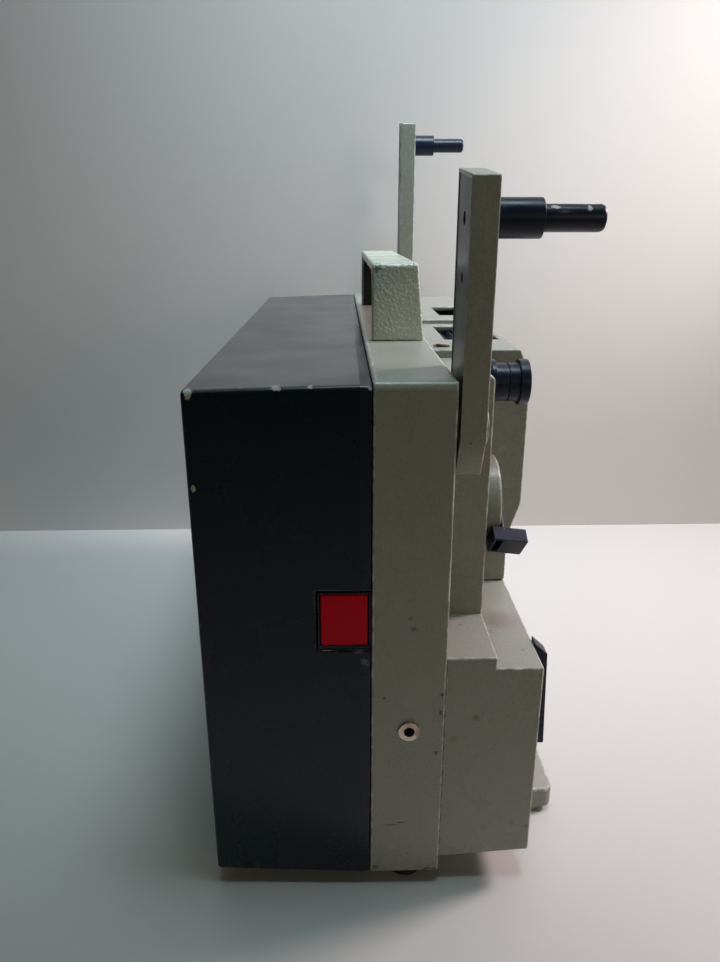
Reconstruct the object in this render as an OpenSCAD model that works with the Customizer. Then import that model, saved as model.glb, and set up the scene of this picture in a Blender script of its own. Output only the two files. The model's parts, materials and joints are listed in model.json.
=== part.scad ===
// Small-gauge movie projector with two folding reel arms.
// Lengths are millimetres. The film side faces +X, the lens looks along +Y, and the feet stand on z = 0.
// Inside the modules x is measured from the seam of the back cover and y from the rear face of the frame.

/* [Main frame] */
// Width of the main frame, seam to mechanism wall
frame_w = 25.4; // [24:0.1:28]
// Length of the frame, rear face to front face
frame_len = 302.5; // [300:0.5:320]
// Height of the frame casting
frame_h = 187; // [186:0.5:192]
// Wall of the frame casting
frame_wall = 3; // [2.5:0.1:3.2]
// Rounding of the frame's long outer edges
frame_round = 3; // [1:0.1:5]
// Height of the rubber feet under the frame
foot_h = 4; // [3.5:0.1:5]
// Radius of a rubber foot
foot_r = 7; // [5:0.1:9]

/* [Back cover] */
// Depth of the back cover, seam to outer face
cover_d = 57.1; // [56:0.1:62]
// Step from the top of the frame down to the top of the cover
cover_drop = 1; // [0.5:0.1:2]
// Height of the cover's open lower edge above the frame's underside
cover_lift = 0.4; // [0.2:0.1:1]
// Wall of the cover
cover_wall = 2.4; // [1.8:0.1:3]
// Draft of each cover wall over its depth
cover_draft = 1.8; // [0.5:0.1:2.5]
// Rounding of the cover's corners
cover_round = 2; // [1:0.1:2.4]
// Gap at the seam
seam_gap = 0.3; // [0.2:0.1:0.6]

/* [Release button] */
// Width of the red release button
button_w = 15.5; // [12:0.1:17]
// Height of the release button
button_h = 18.6; // [14:0.1:22]
// Height of the button's middle above the floor
button_z = 111.5; // [90:0.5:125]
// Width of the black bezel round the button
bezel_rim = 1; // [0.8:0.1:2]
// Depth of the bezel behind the rear face
bezel_d = 9; // [8:0.1:12]
// Travel of the button
button_travel = 3; // [2:0.1:3.5]

/* [Handle] */
// Distance of the handle's rear leg from the rear face
handle_y = 80; // [70:0.5:85]
// Length of the handle over both legs
handle_len = 142; // [120:0.5:150]
// Height of the handle above the frame
handle_h = 29.6; // [26:0.1:36]
// Width of the handle strap
handle_w = 20.6; // [16:0.1:21.5]
// Thickness of the strap
handle_t = 3.6; // [3:0.1:5]
// Bend radius on the outside of the strap
handle_bend = 2; // [1:0.1:4]
// Bend radius on the inside of the strap
inner_bend = 6; // [4:0.1:8]
// Thickness of the soft lining inside the strap
liner_t = 1.2; // [0.8:0.1:2]
// Amount by which the strap's film side leans in at its top
handle_lean = 2.8; // [1:0.1:4]

/* [Film side housing] */
// Distance of the housing's near face from the rear face
film_y = 1.65; // [1:0.05:3]
// Reach of the plinth beyond the mechanism wall
plinth_w = 33.7; // [32:0.1:36]
// Height of the plinth's top above the floor
plinth_top = 91.7; // [90:0.1:93]
// Height of the plinth's underside at the frame
plinth_low = 10.5; // [9.5:0.1:11.5]
// Rise of the underside towards the film side
plinth_rise = 2.5; // [1.5:0.1:4]
// Reach of the post and step beyond the mechanism wall
post_w = 17.5; // [16:0.1:18]
// Height of the step on the plinth
step_h = 4.3; // [3:0.1:5]
// Distance of the post's near face from the rear face
post_y = 32; // [31.5:0.1:33]
// Length of the post
post_len = 35.3; // [34:0.1:36]
// Height of the post's top above the floor
post_top = 186.5; // [185:0.1:188]
// Rounding of the post's upper edge
post_round = 2.5; // [1:0.1:4]
// Wall of the film side castings
film_wall = 2.4; // [2:0.1:2.6]
// Length of the frame left clear for the front arm
front_room = 34.5; // [33:0.5:37]

/* [Lamphouse and gate cover] */
// Distance of the joint between lamphouse and gate cover from the rear face
head_split = 146.4; // [146:0.1:148]
// Height of the lamphouse roof above the floor
head_top = 189.5; // [189:0.1:190]
// Step up from the lamphouse roof to the gate cover roof
gate_step = 1.8; // [1:0.1:2.2]
// Clearance between the lens mount and the bulged side
bulge_gap = 0.4; // [0.3:0.05:1]
// Height of the bulge's lower edge above the floor
bulge_low = 126.5; // [124:0.5:128]
// Height of the bulge's upper edge above the floor
bulge_high = 177.5; // [176:0.5:178]
// Height where the lower slope of the bulge starts
slope_low = 112; // [108:0.5:114]
// Distance of the vent from the mechanism wall
vent_off = 8.6; // [7:0.1:10]
// Size of the roof vent along X
vent_w = 22.5; // [20:0.1:23]
// Size of the roof vent along Y
vent_len = 44; // [36:0.5:48]
// Distance from the vent to the joint with the gate cover
vent_gap = 8.4; // [6:0.1:12]
// Number of louvre slats in the vent
vent_slats = 5; // [3:1:6]
// Length of the film slot in the gate cover roof
slot_len = 42; // [30:0.5:46]
// Width of the film slot in the gate cover roof
slot_w = 15; // [12:0.1:15.5]
// Running gap round the covers that move
gap = 0.3; // [0.2:0.05:0.4]
// Radius of the gate cover's hinge pin
hinge_r = 1.5; // [1.2:0.1:1.6]
// Wall round the hinge pin
hinge_wall = 1; // [0.8:0.1:1]
// Running clearance of shafts and pins
run_fit = 0.05; // [0.02:0.01:0.08]

/* [Base plate and selector] */
// Reach of the base plate beyond the mechanism wall
base_w = 52.4; // [50:0.1:56]
// Distance of the base plate's near edge from the rear face
base_y = 34; // [30:0.5:40]
// Length of the base plate
base_len = 206; // [180:0.5:220]
// Height of the base plate's top above the floor
base_top = 11.5; // [11.2:0.1:12]
// Thickness of the pads under the base plate
pad_h = 2.6; // [2:0.1:4]
// Rounding of the base plate's corners
base_round = 4; // [2:0.1:6]
// Distance of the selector's axis from the rear face
bar_y = 18.65; // [18:0.05:24]
// Distance from the plinth's top down to the selector's axis
bar_drop = 20.4; // [20:0.1:26]
// Width of the selector's bar
bar_w = 6.3; // [5:0.1:8]
// Length of the selector's bar, without its bevelled tip
bar_len = 38.3; // [34:0.1:40]
// Depth of the bar at its tip
bar_d = 4.7; // [4:0.1:6]
// Amount by which the bar is deeper at its other end
bar_lean = 1.5; // [0.5:0.1:2]
// Length of the bevelled tip
bar_tip = 4.3; // [3:0.1:5]

/* [Dial and roller] */
// Radius of the control dial
dial_r = 16.4; // [15:0.1:16.5]
// Thickness of the control dial
dial_t = 5.4; // [4:0.1:6]
// Height of the dial's axis above the floor
dial_z = 136; // [130:0.5:140]
// Width of the dial lever
lever_w = 8.6; // [6:0.1:10]
// Reach of the lever from the dial's axis
lever_reach = 22.5; // [20:0.1:23]
// Height of the lever's paddle above the dial
lever_h = 8.6; // [7:0.1:10]
// Depth of the lever's paddle below the dial's face
lever_drop = 4.2; // [3:0.1:4.4]
// Droop of the paddle's free end
lever_droop = 11; // [0:0.5:15]
// Thickness of the lever's bar on the dial
lever_t = 1; // [0.8:0.1:3]
// Direction of the lever at rest, from +Y towards +Z
lever_angle = 213; // [200:1:225]
// Radius of the guide roller's flanges
roller_flange_r = 8.2; // [7.5:0.1:8.5]
// Radius of the guide roller's film track
roller_r = 6.9; // [6:0.1:7.2]
// Width of the guide roller
roller_w = 13.6; // [12:0.1:14.5]
// Height of the roller's axis above the floor
roller_z = 180.6; // [176:0.1:181]

/* [Reel arms] */
// Thickness of a reel arm
arm_t = 8.2; // [8:0.1:9]
// Width of a reel arm
arm_w = 24.7; // [23:0.1:25]
// Wall of a reel arm
arm_wall = 2; // [1.6:0.1:2.2]
// Height of the arm pivots above the floor
pivot_z = 174; // [172:0.5:175]
// Distance of the rear arm's pivot from the rear face
rear_pivot_y = 14.5; // [14:0.1:14.8]
// Distance of the front arm's pivot from the front face
front_pivot_y = 12.5; // [12.4:0.1:14]
// Distance from pivot to spindle on the rear arm
rear_reach = 62.2; // [60:0.1:66]
// Distance from pivot to spindle on the front arm
front_reach = 107; // [100:0.5:115]
// Rear arm's distance from the mechanism wall
rear_arm_off = 1.3; // [1:0.1:1.6]
// Front arm's distance from the mechanism wall
front_arm_off = 3.7; // [3.4:0.1:4]
// Distance from the spindle to the middle of the arm's end
arm_end = 12.8; // [10:0.1:14]
// Rise of the arm's end across its width
arm_slope = 3.2; // [0:0.1:5]
// Rim of the arm beside its back plate
arm_rim = 0.6; // [0.4:0.1:1.5]
// Rim of the arm above its back plate
end_rim = 1.3; // [0.8:0.1:2]
// Length of the arm below its pivot
arm_tail = 15; // [14:0.1:15.2]
// Half width of the tail's narrow end
tail_w = 5.5; // [4:0.1:6]
// Radius of the cast cap over the pivot
cap_r = 6.4; // [5:0.1:8]
// Height of the cast cap over the pivot
cap_h = 1.8; // [1:0.1:2.5]
// Radius of the reel spindle
spindle_r = 3.95; // [3.5:0.05:4]
// Length of the reel spindle past its shoulder
spindle_len = 18.6; // [16:0.1:20]
// Radius of the spindle's shoulder
shoulder_r = 5.8; // [5:0.1:6]
// Reel seat's distance from the mechanism wall
reel_seat = 24.2; // [22:0.1:26]
// Radius of the spindle's journal in the arm
journal_r = 3; // [2.5:0.1:3.5]
// Radius of the hollow arm bush
bush_r = 6; // [5.5:0.1:6.5]
// Radius of the drive shaft in the bush
drive_r = 2.5; // [2:0.1:3]

/* [Drive] */
// Distance of the motor's axis from the seam, into the cover
motor_x = 26; // [25.5:0.1:28]
// Height of the motor's axis above the floor
motor_z = 62; // [58:0.5:64]
// Radius of the motor
motor_r = 24; // [20:0.5:26]
// Length of the motor
motor_len = 58; // [50:0.5:60]
// Width of the motor's bracket
bracket_w = 36; // [30:0.5:38]
// Length of the motor's bracket
bracket_len = 30; // [24:0.5:32]
// Distance of the motor's rear end from the rear face
motor_y = 62; // [60:0.5:64]
// Radius of motor shaft and main shaft
shaft_r = 3; // [2.5:0.1:3.2]
// Radius of the cooling fan
fan_r = 26; // [20:0.5:27]
// Number of fan blades
fan_blades = 10; // [6:1:16]
// Groove radius of the motor pulley
motor_pulley_r = 7; // [6:0.1:9]
// Groove radius of the main pulley
main_pulley_r = 8.5; // [7:0.1:8.6]
// Distance of the main shaft from the seam, into the frame
main_x = 12; // [11.8:0.1:12.5]
// Height of the main shaft above the floor
main_z = 140; // [139:0.1:141]
// Radius of the shutter
shutter_r = 45.3; // [44:0.1:45.5]
// Distance of the shutter from the rear face
shutter_y = 173; // [170:0.5:175]
// Number of shutter blades
shutter_blades = 3; // [2:1:3]
// Module of the worm drive
worm_module = 1; // [0.9:0.05:1]
// Teeth of the worm gears
gear_teeth = 20; // [18:1:22]
// Pitch radius of the worms
worm_r = 5; // [4.8:0.1:5.2]
// Distance of the take-up gear from the rear face
takeup_y = 108; // [104:0.5:112]
// Distance of the rewind gear from the rear face
rewind_y = 208; // [200:0.5:212]
// Groove radius of the small belt pulleys
small_pulley_r = 4.6; // [4.2:0.1:5]
// Groove radius of the arm pulleys
arm_pulley_r = 6; // [5:0.1:6.2]
// Thickness of the belts
belt_t = 1.2; // [0.8:0.1:1.4]

/* [Optics] */
// Distance of the optical axis from the mechanism wall
optic_off = 24.6; // [24:0.1:25]
// Height of the optical axis above the floor
optic_z = 150; // [148:0.5:152]
// Distance of the lamp from the rear face
lamp_y = 115; // [112:0.5:118]
// Radius of the lamp's bulb
lamp_r = 6.5; // [5:0.1:8]
// Width of the lamp's socket
socket_w = 12; // [10:0.1:12.4]
// Height of the lamp's socket
socket_h = 18; // [14:0.5:20]
// Distance from the socket's top up to the optical axis
filament_h = 20; // [18:0.5:24]
// Distance from the lamp back to the reflector
mirror_off = 18; // [16:0.5:20]
// Radius of the reflector and condenser
condenser_r = 8.5; // [7:0.1:9]
// Distance from the lamphouse's edge to the condenser's cell
cell_gap = 4; // [3:0.5:6]
// Width of the condenser's cell
cell_w = 6; // [5:0.1:8]
// Edge thickness of the condenser
cell_edge = 3; // [2:0.1:4]
// Height of each domed face of the condenser
cell_dome = 3; // [2:0.1:4]
// Distance of the film gate from the rear face
gate_y = 186; // [184:0.5:190]
// Half height of the gate plate
gate_half = 36; // [30:0.5:37]
// Width of the picture aperture
aperture_w = 5.5; // [4:0.1:6]
// Height of the picture aperture
aperture_h = 4.1; // [3:0.1:5]
// Radius of the lens barrel
lens_r = 9; // [8:0.1:9.5]
// Length of the lens barrel
lens_len = 92; // [86:0.5:94]
// Wall of the lens mount
mount_wall = 2; // [1.6:0.1:2]
// Distance from the lens mount's web to the front end of the film side
web_back = 20; // [16:0.5:28]
// Distance from the mount's rear end to its web
mount_lead = 6; // [4:0.5:10]
// Distance from the film gate to the lens mount
mount_gap = 20; // [18:0.5:24]
// Distance from the film gate to the lens
lens_gap = 12; // [10:0.5:14]
// Travel of the lens for focusing
focus_travel = 8; // [5:0.5:9]

/* [Sockets] */
// Radius of the jack's ring
jack_r = 3.8; // [3:0.1:5]
// Radius of the jack's hole
jack_hole = 1.8; // [1.7:0.05:2]
// Distance of the jack from the seam
jack_x = 13.1; // [10:0.1:15]
// Height of the jack above the floor
jack_z = 68.4; // [60:0.1:75]
// Distance by which the jack's ring stands proud
jack_proud = 0.8; // [0.4:0.1:1.5]
// Width of the mains inlet
inlet_w = 16; // [14:0.1:17]
// Height of the mains inlet
inlet_h = 12; // [10:0.1:14]
// Height of the inlet's middle above the floor
inlet_z = 32; // [28:0.5:40]
// Depth of the inlet behind the front wall
inlet_d = 14; // [12:0.5:18]

/* [Transformer] */
// Width of the transformer core
core_w = 38; // [34:0.5:40]
// Height of the transformer core
core_h = 40; // [36:0.5:44]
// Stack of the core's laminations
core_stack = 26; // [20:0.5:30]
// Width of a leg of the core
core_leg = 8; // [7:0.1:9]
// Distance of the core's middle from the seam, into the cover
core_x = 27; // [26:0.5:28]
// Distance of the core's middle from the rear face
core_y = 211; // [208:0.5:216]
// Overhang of the winding past the core's stack
coil_over = 8; // [6:0.1:10]

/* [Hidden] */
$fn = 48;
eps = 1;
body_grey = "#8f9889";
dark = "#1b2530";
black = "#1a1a1c";
steel = "#b9bcc0";

frame_low = foot_h;
frame_top = foot_h + frame_h;
wall_in = frame_w - frame_wall;
floor_in = frame_low + frame_wall;
front_y = frame_len - front_pivot_y;

cover_low = frame_low + cover_lift;
cover_high = frame_top - cover_drop;
cover_h = cover_high - cover_low;

bezel_w = button_w + 2 * bezel_rim;
bezel_h = button_h + 2 * bezel_rim;
bezel_face = 0.8;
bezel_back = 1.6;
button_fit = 0.3;
button_face = bezel_face + 0.2;

handle_shift = 0.5;
handle_x = (frame_w - handle_w) / 2 + handle_shift;

plinth_x = frame_w + plinth_w;
post_x = frame_w + post_w;
step_top = plinth_top + step_h;
post_end = post_y + post_len;
film_end = frame_len - front_room;
head_x = frame_w + gap;
head_low = plinth_top + gap;
lamphouse_y = post_end + gap;
gate_top = head_top + gate_step;
roof_out = 0.5;
roof_edge = plinth_x + roof_out;
vent_x = frame_w + vent_off;
vent_y = head_split - vent_gap - vent_len;

dial_y = post_end - dial_r - 2 * gap;
dial_x = post_x + gap;
roller_y = (post_y + post_end) / 2;
roller_x = post_x + 4 * gap;
roller_pin_r = 2;
roller_end = 2;

hinge_out = hinge_r + hinge_wall;
hinge_x = plinth_x - hinge_out;
hinge_z = head_low + hinge_out;
lug_len = 6;
lug_in = [4, 6];
lug_y = [head_split + lug_in[0], film_end - lug_in[1] - lug_len];

base_x = frame_w + base_w;
bar_x = plinth_x + gap;
bar_z = plinth_top - bar_drop;
bar_pin_r = 2;
bar_collar = 2;

main_pulley_w = 6;
fan_gap = 22;
fan_y = motor_y - fan_gap;
pulley_gap = 8;
pulley_y = motor_y + motor_len + pulley_gap;
shutter_t = 1;
gear_pitch_r = worm_module * gear_teeth / 2;
gear_z = main_z - worm_r - gear_pitch_r;
thread_pitch = worm_module * PI;
worm_turns = 3;
worm_len = worm_turns * thread_pitch;
tooth_add = 0.9 * worm_module;
tooth_ded = 1.15 * worm_module;
gear_w = 4;
gear_x = main_x - gear_w / 2;
stud_r = 2;
pulley_x = 3.5;
pulley_w = 4;
flange = 0.7;
belt_gap = 0.3;
belt_w = pulley_w - 2 * flange - 2 * belt_gap;

shaft_over = [12, 18];
shaft_start = takeup_y - worm_len / 2 - shaft_over[0];
shaft_end = rewind_y + worm_len / 2 + shaft_over[1];
bearing_w = 6;
bearing_in = 2;
bearing_y = [shaft_start + bearing_in, shaft_end - bearing_w - bearing_in];

plate_t = 2.2;
plate_in = 0.3;
arm_pulley_x = plate_in + plate_t + gap;
arm_pulley_w = arm_t - arm_wall - gap - arm_pulley_x;
arm_belt_w = arm_pulley_w - 2 * flange - 2 * belt_gap;

optic_x = frame_w + optic_off;
socket_low = optic_z - filament_h - socket_h;
gate_t = 2;
press_gap = 0.5;
press_t = 2;
press_pin_r = 1.1;
press_pin_z = 17;
mount_r = lens_r + mount_wall;
mount_y = gate_y + mount_gap;
mount_out = 8.6;
mount_end = film_end + mount_out;
lens_y = gate_y + lens_gap;
bulge_x = optic_x + mount_r + bulge_gap + film_wall;
ring_w = 6.5;
ring_r = mount_r + 1;
lens_wall = 1.6;

chassis_t = 2;
chassis_x = -(cover_d - cover_wall - cover_draft);
chassis_y = 8;
plate_top = floor_in + chassis_t;

jack_neck = jack_r - 0.8;
inlet_x = wall_in / 2;
inlet_round = 3;
inlet_rim = 1.4;
inlet_pin_r = 1.2;

mid_x = (base_x - cover_d) / 2;
mid_y = (frame_len - jack_proud) / 2;

// Extrude an outline drawn in Y and Z along +X
module along_x(x, len) translate([x, 0, 0]) rotate([90, 0, 90]) linear_extrude(len) children();

// Extrude an outline drawn in X and Z along +Y
module along_y(y, len) translate([0, y + len, 0]) rotate([90, 0, 0]) linear_extrude(len) children();

// Round bars along the three axes
module rod_x(x, len, y, z, r) translate([x, y, z]) rotate([0, 90, 0]) cylinder(h = len, r = r);
module rod_y(y, len, x, z, r) translate([x, y, z]) rotate([-90, 0, 0]) cylinder(h = len, r = r);
module rod_z(z, len, x, y, r) translate([x, y, z]) cylinder(h = len, r = r);

// Box between two corners
module block(low, high) translate(low) cube(high - low);

// Rectangle with round corners
module rounded_rect(x, y, w, h, r) {
    translate([x + r, y]) square([w - 2 * r, h]);
    translate([x, y + r]) square([w, h - 2 * r]);
    for (cx = [x + r, x + w - r], cy = [y + r, y + h - r]) translate([cx, cy]) circle(r);
}

// What is cut away to round one upper right corner
module corner_cut(x, y, r) {
    translate([x - r, y - r]) difference() {
        square(r + eps);
        circle(r);
    }
}

// Half ring of a belt round one pulley, on the side away from the other pulley
module belt_bend(r, lean, side) {
    difference() {
        circle(r + belt_t);
        circle(r);
        translate([side > 0 ? r * lean - 3 * r : r * lean, -2 * r]) square([3 * r, 4 * r]);
    }
}

// Flat belt round two pulleys, the second at distance d along the first axis
module belt_loop(ra, rb, d) {
    lap = 0.6;
    thin = 0.1;
    a = acos((ra - rb) / d);
    belt_bend(ra, cos(a), -1);
    translate([d, 0]) belt_bend(rb, cos(a), 1);
    // Straight runs, stretched a little thinner and lapped into the bends
    run = sqrt(d * d - (ra - rb) * (ra - rb)) + 2 * lap;
    for (side = [-1, 1]) translate(ra * [cos(a), side * sin(a)]) rotate(side * (a - 90))
        translate([-lap, side > 0 ? thin : thin - belt_t]) square([run, belt_t - 2 * thin]);
}

// Pulley turned about X, with its belt running between two flanges
module pulley_x_axis(x, w, y, z, groove) {
    rod_x(x, flange, y, z, groove + belt_gap + belt_t);
    rod_x(x, w, y, z, groove);
    rod_x(x + w - flange, flange, y, z, groove + belt_gap + belt_t);
}

// Belt in a plane across X, from one pulley to another
module belt_x_axis(x, w, from, to, ra, rb) {
    way = to - from;
    along_x(x, w) translate(from) rotate(atan2(way.y, way.x))
        belt_loop(ra + belt_gap, rb + belt_gap, norm(way));
}

// Cross-section of lamphouse and gate cover, inset by a wall
module head_outline(top, inset, low) {
    polygon([
        [head_x - (inset > 0 ? eps : 0), low],
        [plinth_x - inset, low],
        [plinth_x - inset, slope_low + inset / 2],
        [bulge_x - inset, bulge_low + inset / 2],
        [bulge_x - inset, bulge_high - inset / 2],
        [roof_edge - inset, top - inset],
        [head_x - (inset > 0 ? eps : 0), top - inset]
    ]);
}

module main_frame() {
    stud_end = pulley_x - gap;
    slot_half = 4.5;
    slot_y = shutter_y + shutter_t / 2;
    window_in = 8;
    window_len = 18;
    window_step = 10;
    window_rise = 20;
    window_y = lamphouse_y + window_in;
    color(body_grey) difference() {
        union() {
            difference() {
                along_x(0, frame_w) rounded_rect(0, frame_low, frame_len, frame_h, frame_round);
                along_x(-eps, wall_in + eps) rounded_rect(
                    frame_wall, floor_in, frame_len - 2 * frame_wall, frame_h - 2 * frame_wall, frame_round);
            }
            for (y = [takeup_y, rewind_y]) {
                rod_x(gear_x + gear_w + gap, wall_in - gear_x - gear_w - gap, y, gear_z, 2.5 * stud_r);
                rod_x(stud_end, wall_in - stud_end, y, gear_z, stud_r);
            }
        }
        // Slot for the shutter
        block([wall_in - eps, slot_y - slot_half, main_z - shutter_r],
              [frame_w + eps, slot_y + slot_half, main_z + shutter_r]);
        // Bores for the arm bushes
        for (y = [rear_pivot_y, front_y]) rod_x(wall_in - eps, frame_wall + 2 * eps, y, pivot_z, bush_r);
        // Window for the lamp's cooling air
        block([wall_in - eps, window_y, plinth_top + window_step],
              [frame_w + eps, window_y + window_len, optic_z + window_rise]);
        // Hole for the jack
        rod_y(-eps, frame_wall + 2 * eps, jack_x, jack_z, jack_neck);
        // Hole for the mains inlet
        along_y(frame_len - frame_wall - eps, frame_wall + 2 * eps) inlet_outline(0);
    }
}

// Outline of the mains inlet, grown for its flange or shrunk for its well
module inlet_outline(grow) {
    w = inlet_w + 2 * grow;
    h = inlet_h + 2 * grow;
    rounded_rect(inlet_x - w / 2, inlet_z - h / 2, w, h, inlet_round);
}

module chassis_plate() {
    lip = 8;
    slot_half = 14;
    slot_w = 3.5;
    slot_step = 8;
    slot_in = 4;
    color(steel) difference() {
        union() {
            block([chassis_x, chassis_y, floor_in], [wall_in, frame_len - chassis_y, floor_in + chassis_t]);
            block([chassis_x, chassis_y, floor_in],
                  [chassis_x + chassis_t, frame_len - chassis_y, floor_in + chassis_t + lip]);
        }
        // Air slots under the motor
        for (y = [motor_y + slot_in : slot_step : motor_y + motor_len - slot_in])
            block([-motor_x - slot_half, y, floor_in - eps],
                  [-motor_x + slot_half, y + slot_w, floor_in + chassis_t + eps]);
    }
}

module rubber_feet() {
    edge = foot_r + 3;
    shift = 0.8;
    pad_y = foot_r + 1;
    pad_x = base_x - foot_r - 2;
    color(black) {
        for (y = [edge, frame_len - edge]) rod_z(0, frame_low, frame_w / 2 + shift, y, foot_r);
        for (y = [3 * foot_r, frame_len - 3 * foot_r]) rod_z(0, floor_in, chassis_x + edge, y, foot_r);
        for (y = [base_y + pad_y, base_y + base_len - pad_y]) rod_z(0, pad_h, pad_x, y, foot_r);
    }
}

// Drafted block of the cover, growing along -X from the seam
module cover_block(x, len, h, depth, lift) {
    taper = [1 - 2 * cover_draft / len, 1 - 2 * cover_draft / h];
    translate([x, frame_len / 2, (cover_low + cover_high) / 2 + lift]) rotate([90, 0, -90])
        linear_extrude(depth, scale = taper, slices = 1) rounded_rect(-len / 2, -h / 2, len, h, cover_round);
}

module back_cover() {
    inner_len = frame_len - 2 * cover_wall;
    color(dark) difference() {
        cover_block(-seam_gap, frame_len, cover_h, cover_d - seam_gap, 0);
        cover_block(0, inner_len, cover_h, cover_d - cover_wall, -cover_wall);
        // Lower side is open, so that the cover draws off over the chassis plate
        block([-cover_d + cover_wall, cover_wall + cover_draft, -eps],
              [eps, frame_len - cover_wall - cover_draft, cover_low + 2 * cover_wall + cover_draft]);
        // Notch for the button's bezel, open at the seam
        block([-bezel_w - seam_gap - gap, -eps, button_z - bezel_h / 2 - gap],
              [eps, bezel_d, button_z + bezel_h / 2 + gap]);
    }
}

module button_bezel() {
    low = button_z - bezel_h / 2;
    tab_wall = 2;
    rim = bezel_rim - button_fit;
    color(black) difference() {
        union() {
            block([-bezel_w - seam_gap, bezel_face, low], [-seam_gap, bezel_d, low + bezel_h]);
            // Tab behind the frame's rear wall
            block([-bezel_w, frame_wall, low], [wall_in, bezel_d, low + bezel_h]);
        }
        block([-bezel_w - seam_gap + rim, -eps, low + rim],
              [-seam_gap - rim, bezel_d - bezel_back, low + bezel_h - rim]);
        // Opening of the tab towards the mechanism
        block([bezel_rim, frame_wall + tab_wall, low + bezel_rim],
              [wall_in + eps, bezel_d + eps, low + bezel_h - bezel_rim]);
    }
}

module release_button() {
    low = button_z - button_h / 2;
    x = -seam_gap - bezel_rim - button_w;
    back = bezel_d - bezel_back - button_travel - gap;
    color("#d2261f") block([x, button_face, low], [x + button_w, back, low + button_h]);
}

// Strap outline: rounded U standing on the frame
module strap_outline(inset, bend) {
    h = handle_h - inset;
    len = handle_len - 2 * inset;
    translate([handle_y + inset, frame_top]) {
        translate([0, inset > 0 ? -eps : 0]) square([len, h - bend + (inset > 0 ? eps : 0)]);
        translate([bend, h - bend]) square([len - 2 * bend, bend]);
        for (y = [bend, len - bend]) translate([y, h - bend]) circle(bend);
    }
}

module handle() {
    lean = atan(handle_lean / handle_h);
    color(body_grey) difference() {
        along_x(handle_x, handle_w) difference() {
            strap_outline(0, handle_bend);
            strap_outline(handle_t, inner_bend);
        }
        translate([handle_x + handle_w, handle_y - eps, frame_top]) rotate([0, -lean, 0])
            cube([2 * handle_lean, handle_len + 2 * eps, 2 * handle_h]);
    }
}

module handle_liner() {
    side = 1.2;
    color(black) along_x(handle_x + side, handle_w - handle_lean - 2 * side) difference() {
        strap_outline(handle_t, inner_bend);
        strap_outline(handle_t + liner_t, inner_bend - liner_t);
        translate([handle_y, frame_top - 2 * eps]) square([handle_len, 2 * eps]);
    }
}

module film_housing() {
    pin_boss = 2 * roller_pin_r - 0.4;
    boss_drop = 1.2;
    color(body_grey) difference() {
        union() {
            difference() {
                union() {
                    along_y(film_y, film_end - film_y) plinth_outline(0);
                    along_y(film_y, post_y - film_y + eps)
                        translate([frame_w, plinth_top - eps]) square([post_w, step_h + eps]);
                    along_y(post_y, post_len) difference() {
                        translate([frame_w, plinth_top - eps]) square([post_w, post_top - plinth_top + eps]);
                        corner_cut(post_x, post_top, post_round);
                    }
                }
                along_y(film_y + film_wall, film_end - film_y - 2 * film_wall) plinth_outline(film_wall);
                block([frame_w - eps, film_y + film_wall, plinth_top - film_wall - eps],
                      [post_x - film_wall, post_end - film_wall, step_top - film_wall]);
                block([frame_w - eps, post_y + film_wall, plinth_top - film_wall - eps],
                      [post_x - film_wall, post_end - film_wall, post_top - film_wall]);
            }
            // Bosses for the roller pin and the dial's journal
            rod_x(post_x - 3 * film_wall, 2.5 * film_wall, roller_y, roller_z - boss_drop, pin_boss);
            rod_x(post_x - 4 * film_wall, 3.5 * film_wall, dial_y, dial_z, 3 * roller_pin_r);
            // Hinge lugs of the gate cover
            for (y = lug_y) {
                block([hinge_x - hinge_out, y, plinth_top - eps], [hinge_x, y + lug_len, hinge_z]);
                rod_y(y, lug_len, hinge_x, hinge_z, hinge_out);
            }
        }
        rod_x(post_x - 4 * film_wall, 5 * film_wall, roller_y, roller_z, roller_pin_r);
        rod_x(post_x - 5 * film_wall, 6 * film_wall, dial_y, dial_z, 1.5 * roller_pin_r + run_fit);
        for (y = lug_y) rod_y(y - eps, lug_len + 2 * eps, hinge_x, hinge_z, hinge_r);
        rod_x(plinth_x - film_wall - eps, film_wall + 2 * eps, bar_y, bar_z, bar_pin_r + run_fit);
    }
}

module plinth_outline(inset) {
    left = frame_w - (inset > 0 ? eps : 0);
    polygon([
        [left, plinth_low + inset],
        [plinth_x - inset, plinth_low + plinth_rise + inset],
        [plinth_x - inset, plinth_top - inset],
        [left, plinth_top - inset]
    ]);
}

module base_plate() {
    seat = plinth_w * (base_top - plinth_low) / plinth_rise;
    color(body_grey) intersection() {
        along_y(base_y, base_len) polygon([
            [frame_w, pad_h],
            [base_x, pad_h],
            [base_x, base_top],
            [frame_w + seat, base_top],
            [frame_w, plinth_low]
        ]);
        linear_extrude(base_top + eps)
            rounded_rect(frame_w - 2 * base_round, base_y, base_w + 2 * base_round, base_len, base_round);
    }
}

module lamphouse() {
    len = head_split - lamphouse_y;
    color(body_grey) difference() {
        along_y(lamphouse_y, len) head_outline(head_top, 0, head_low);
        along_y(lamphouse_y + film_wall, len) head_outline(head_top, film_wall, head_low - eps);
        // Roof vent
        block([vent_x, vent_y, head_top - film_wall - eps],
              [vent_x + vent_w, vent_y + vent_len, head_top + eps]);
    }
}

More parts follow.
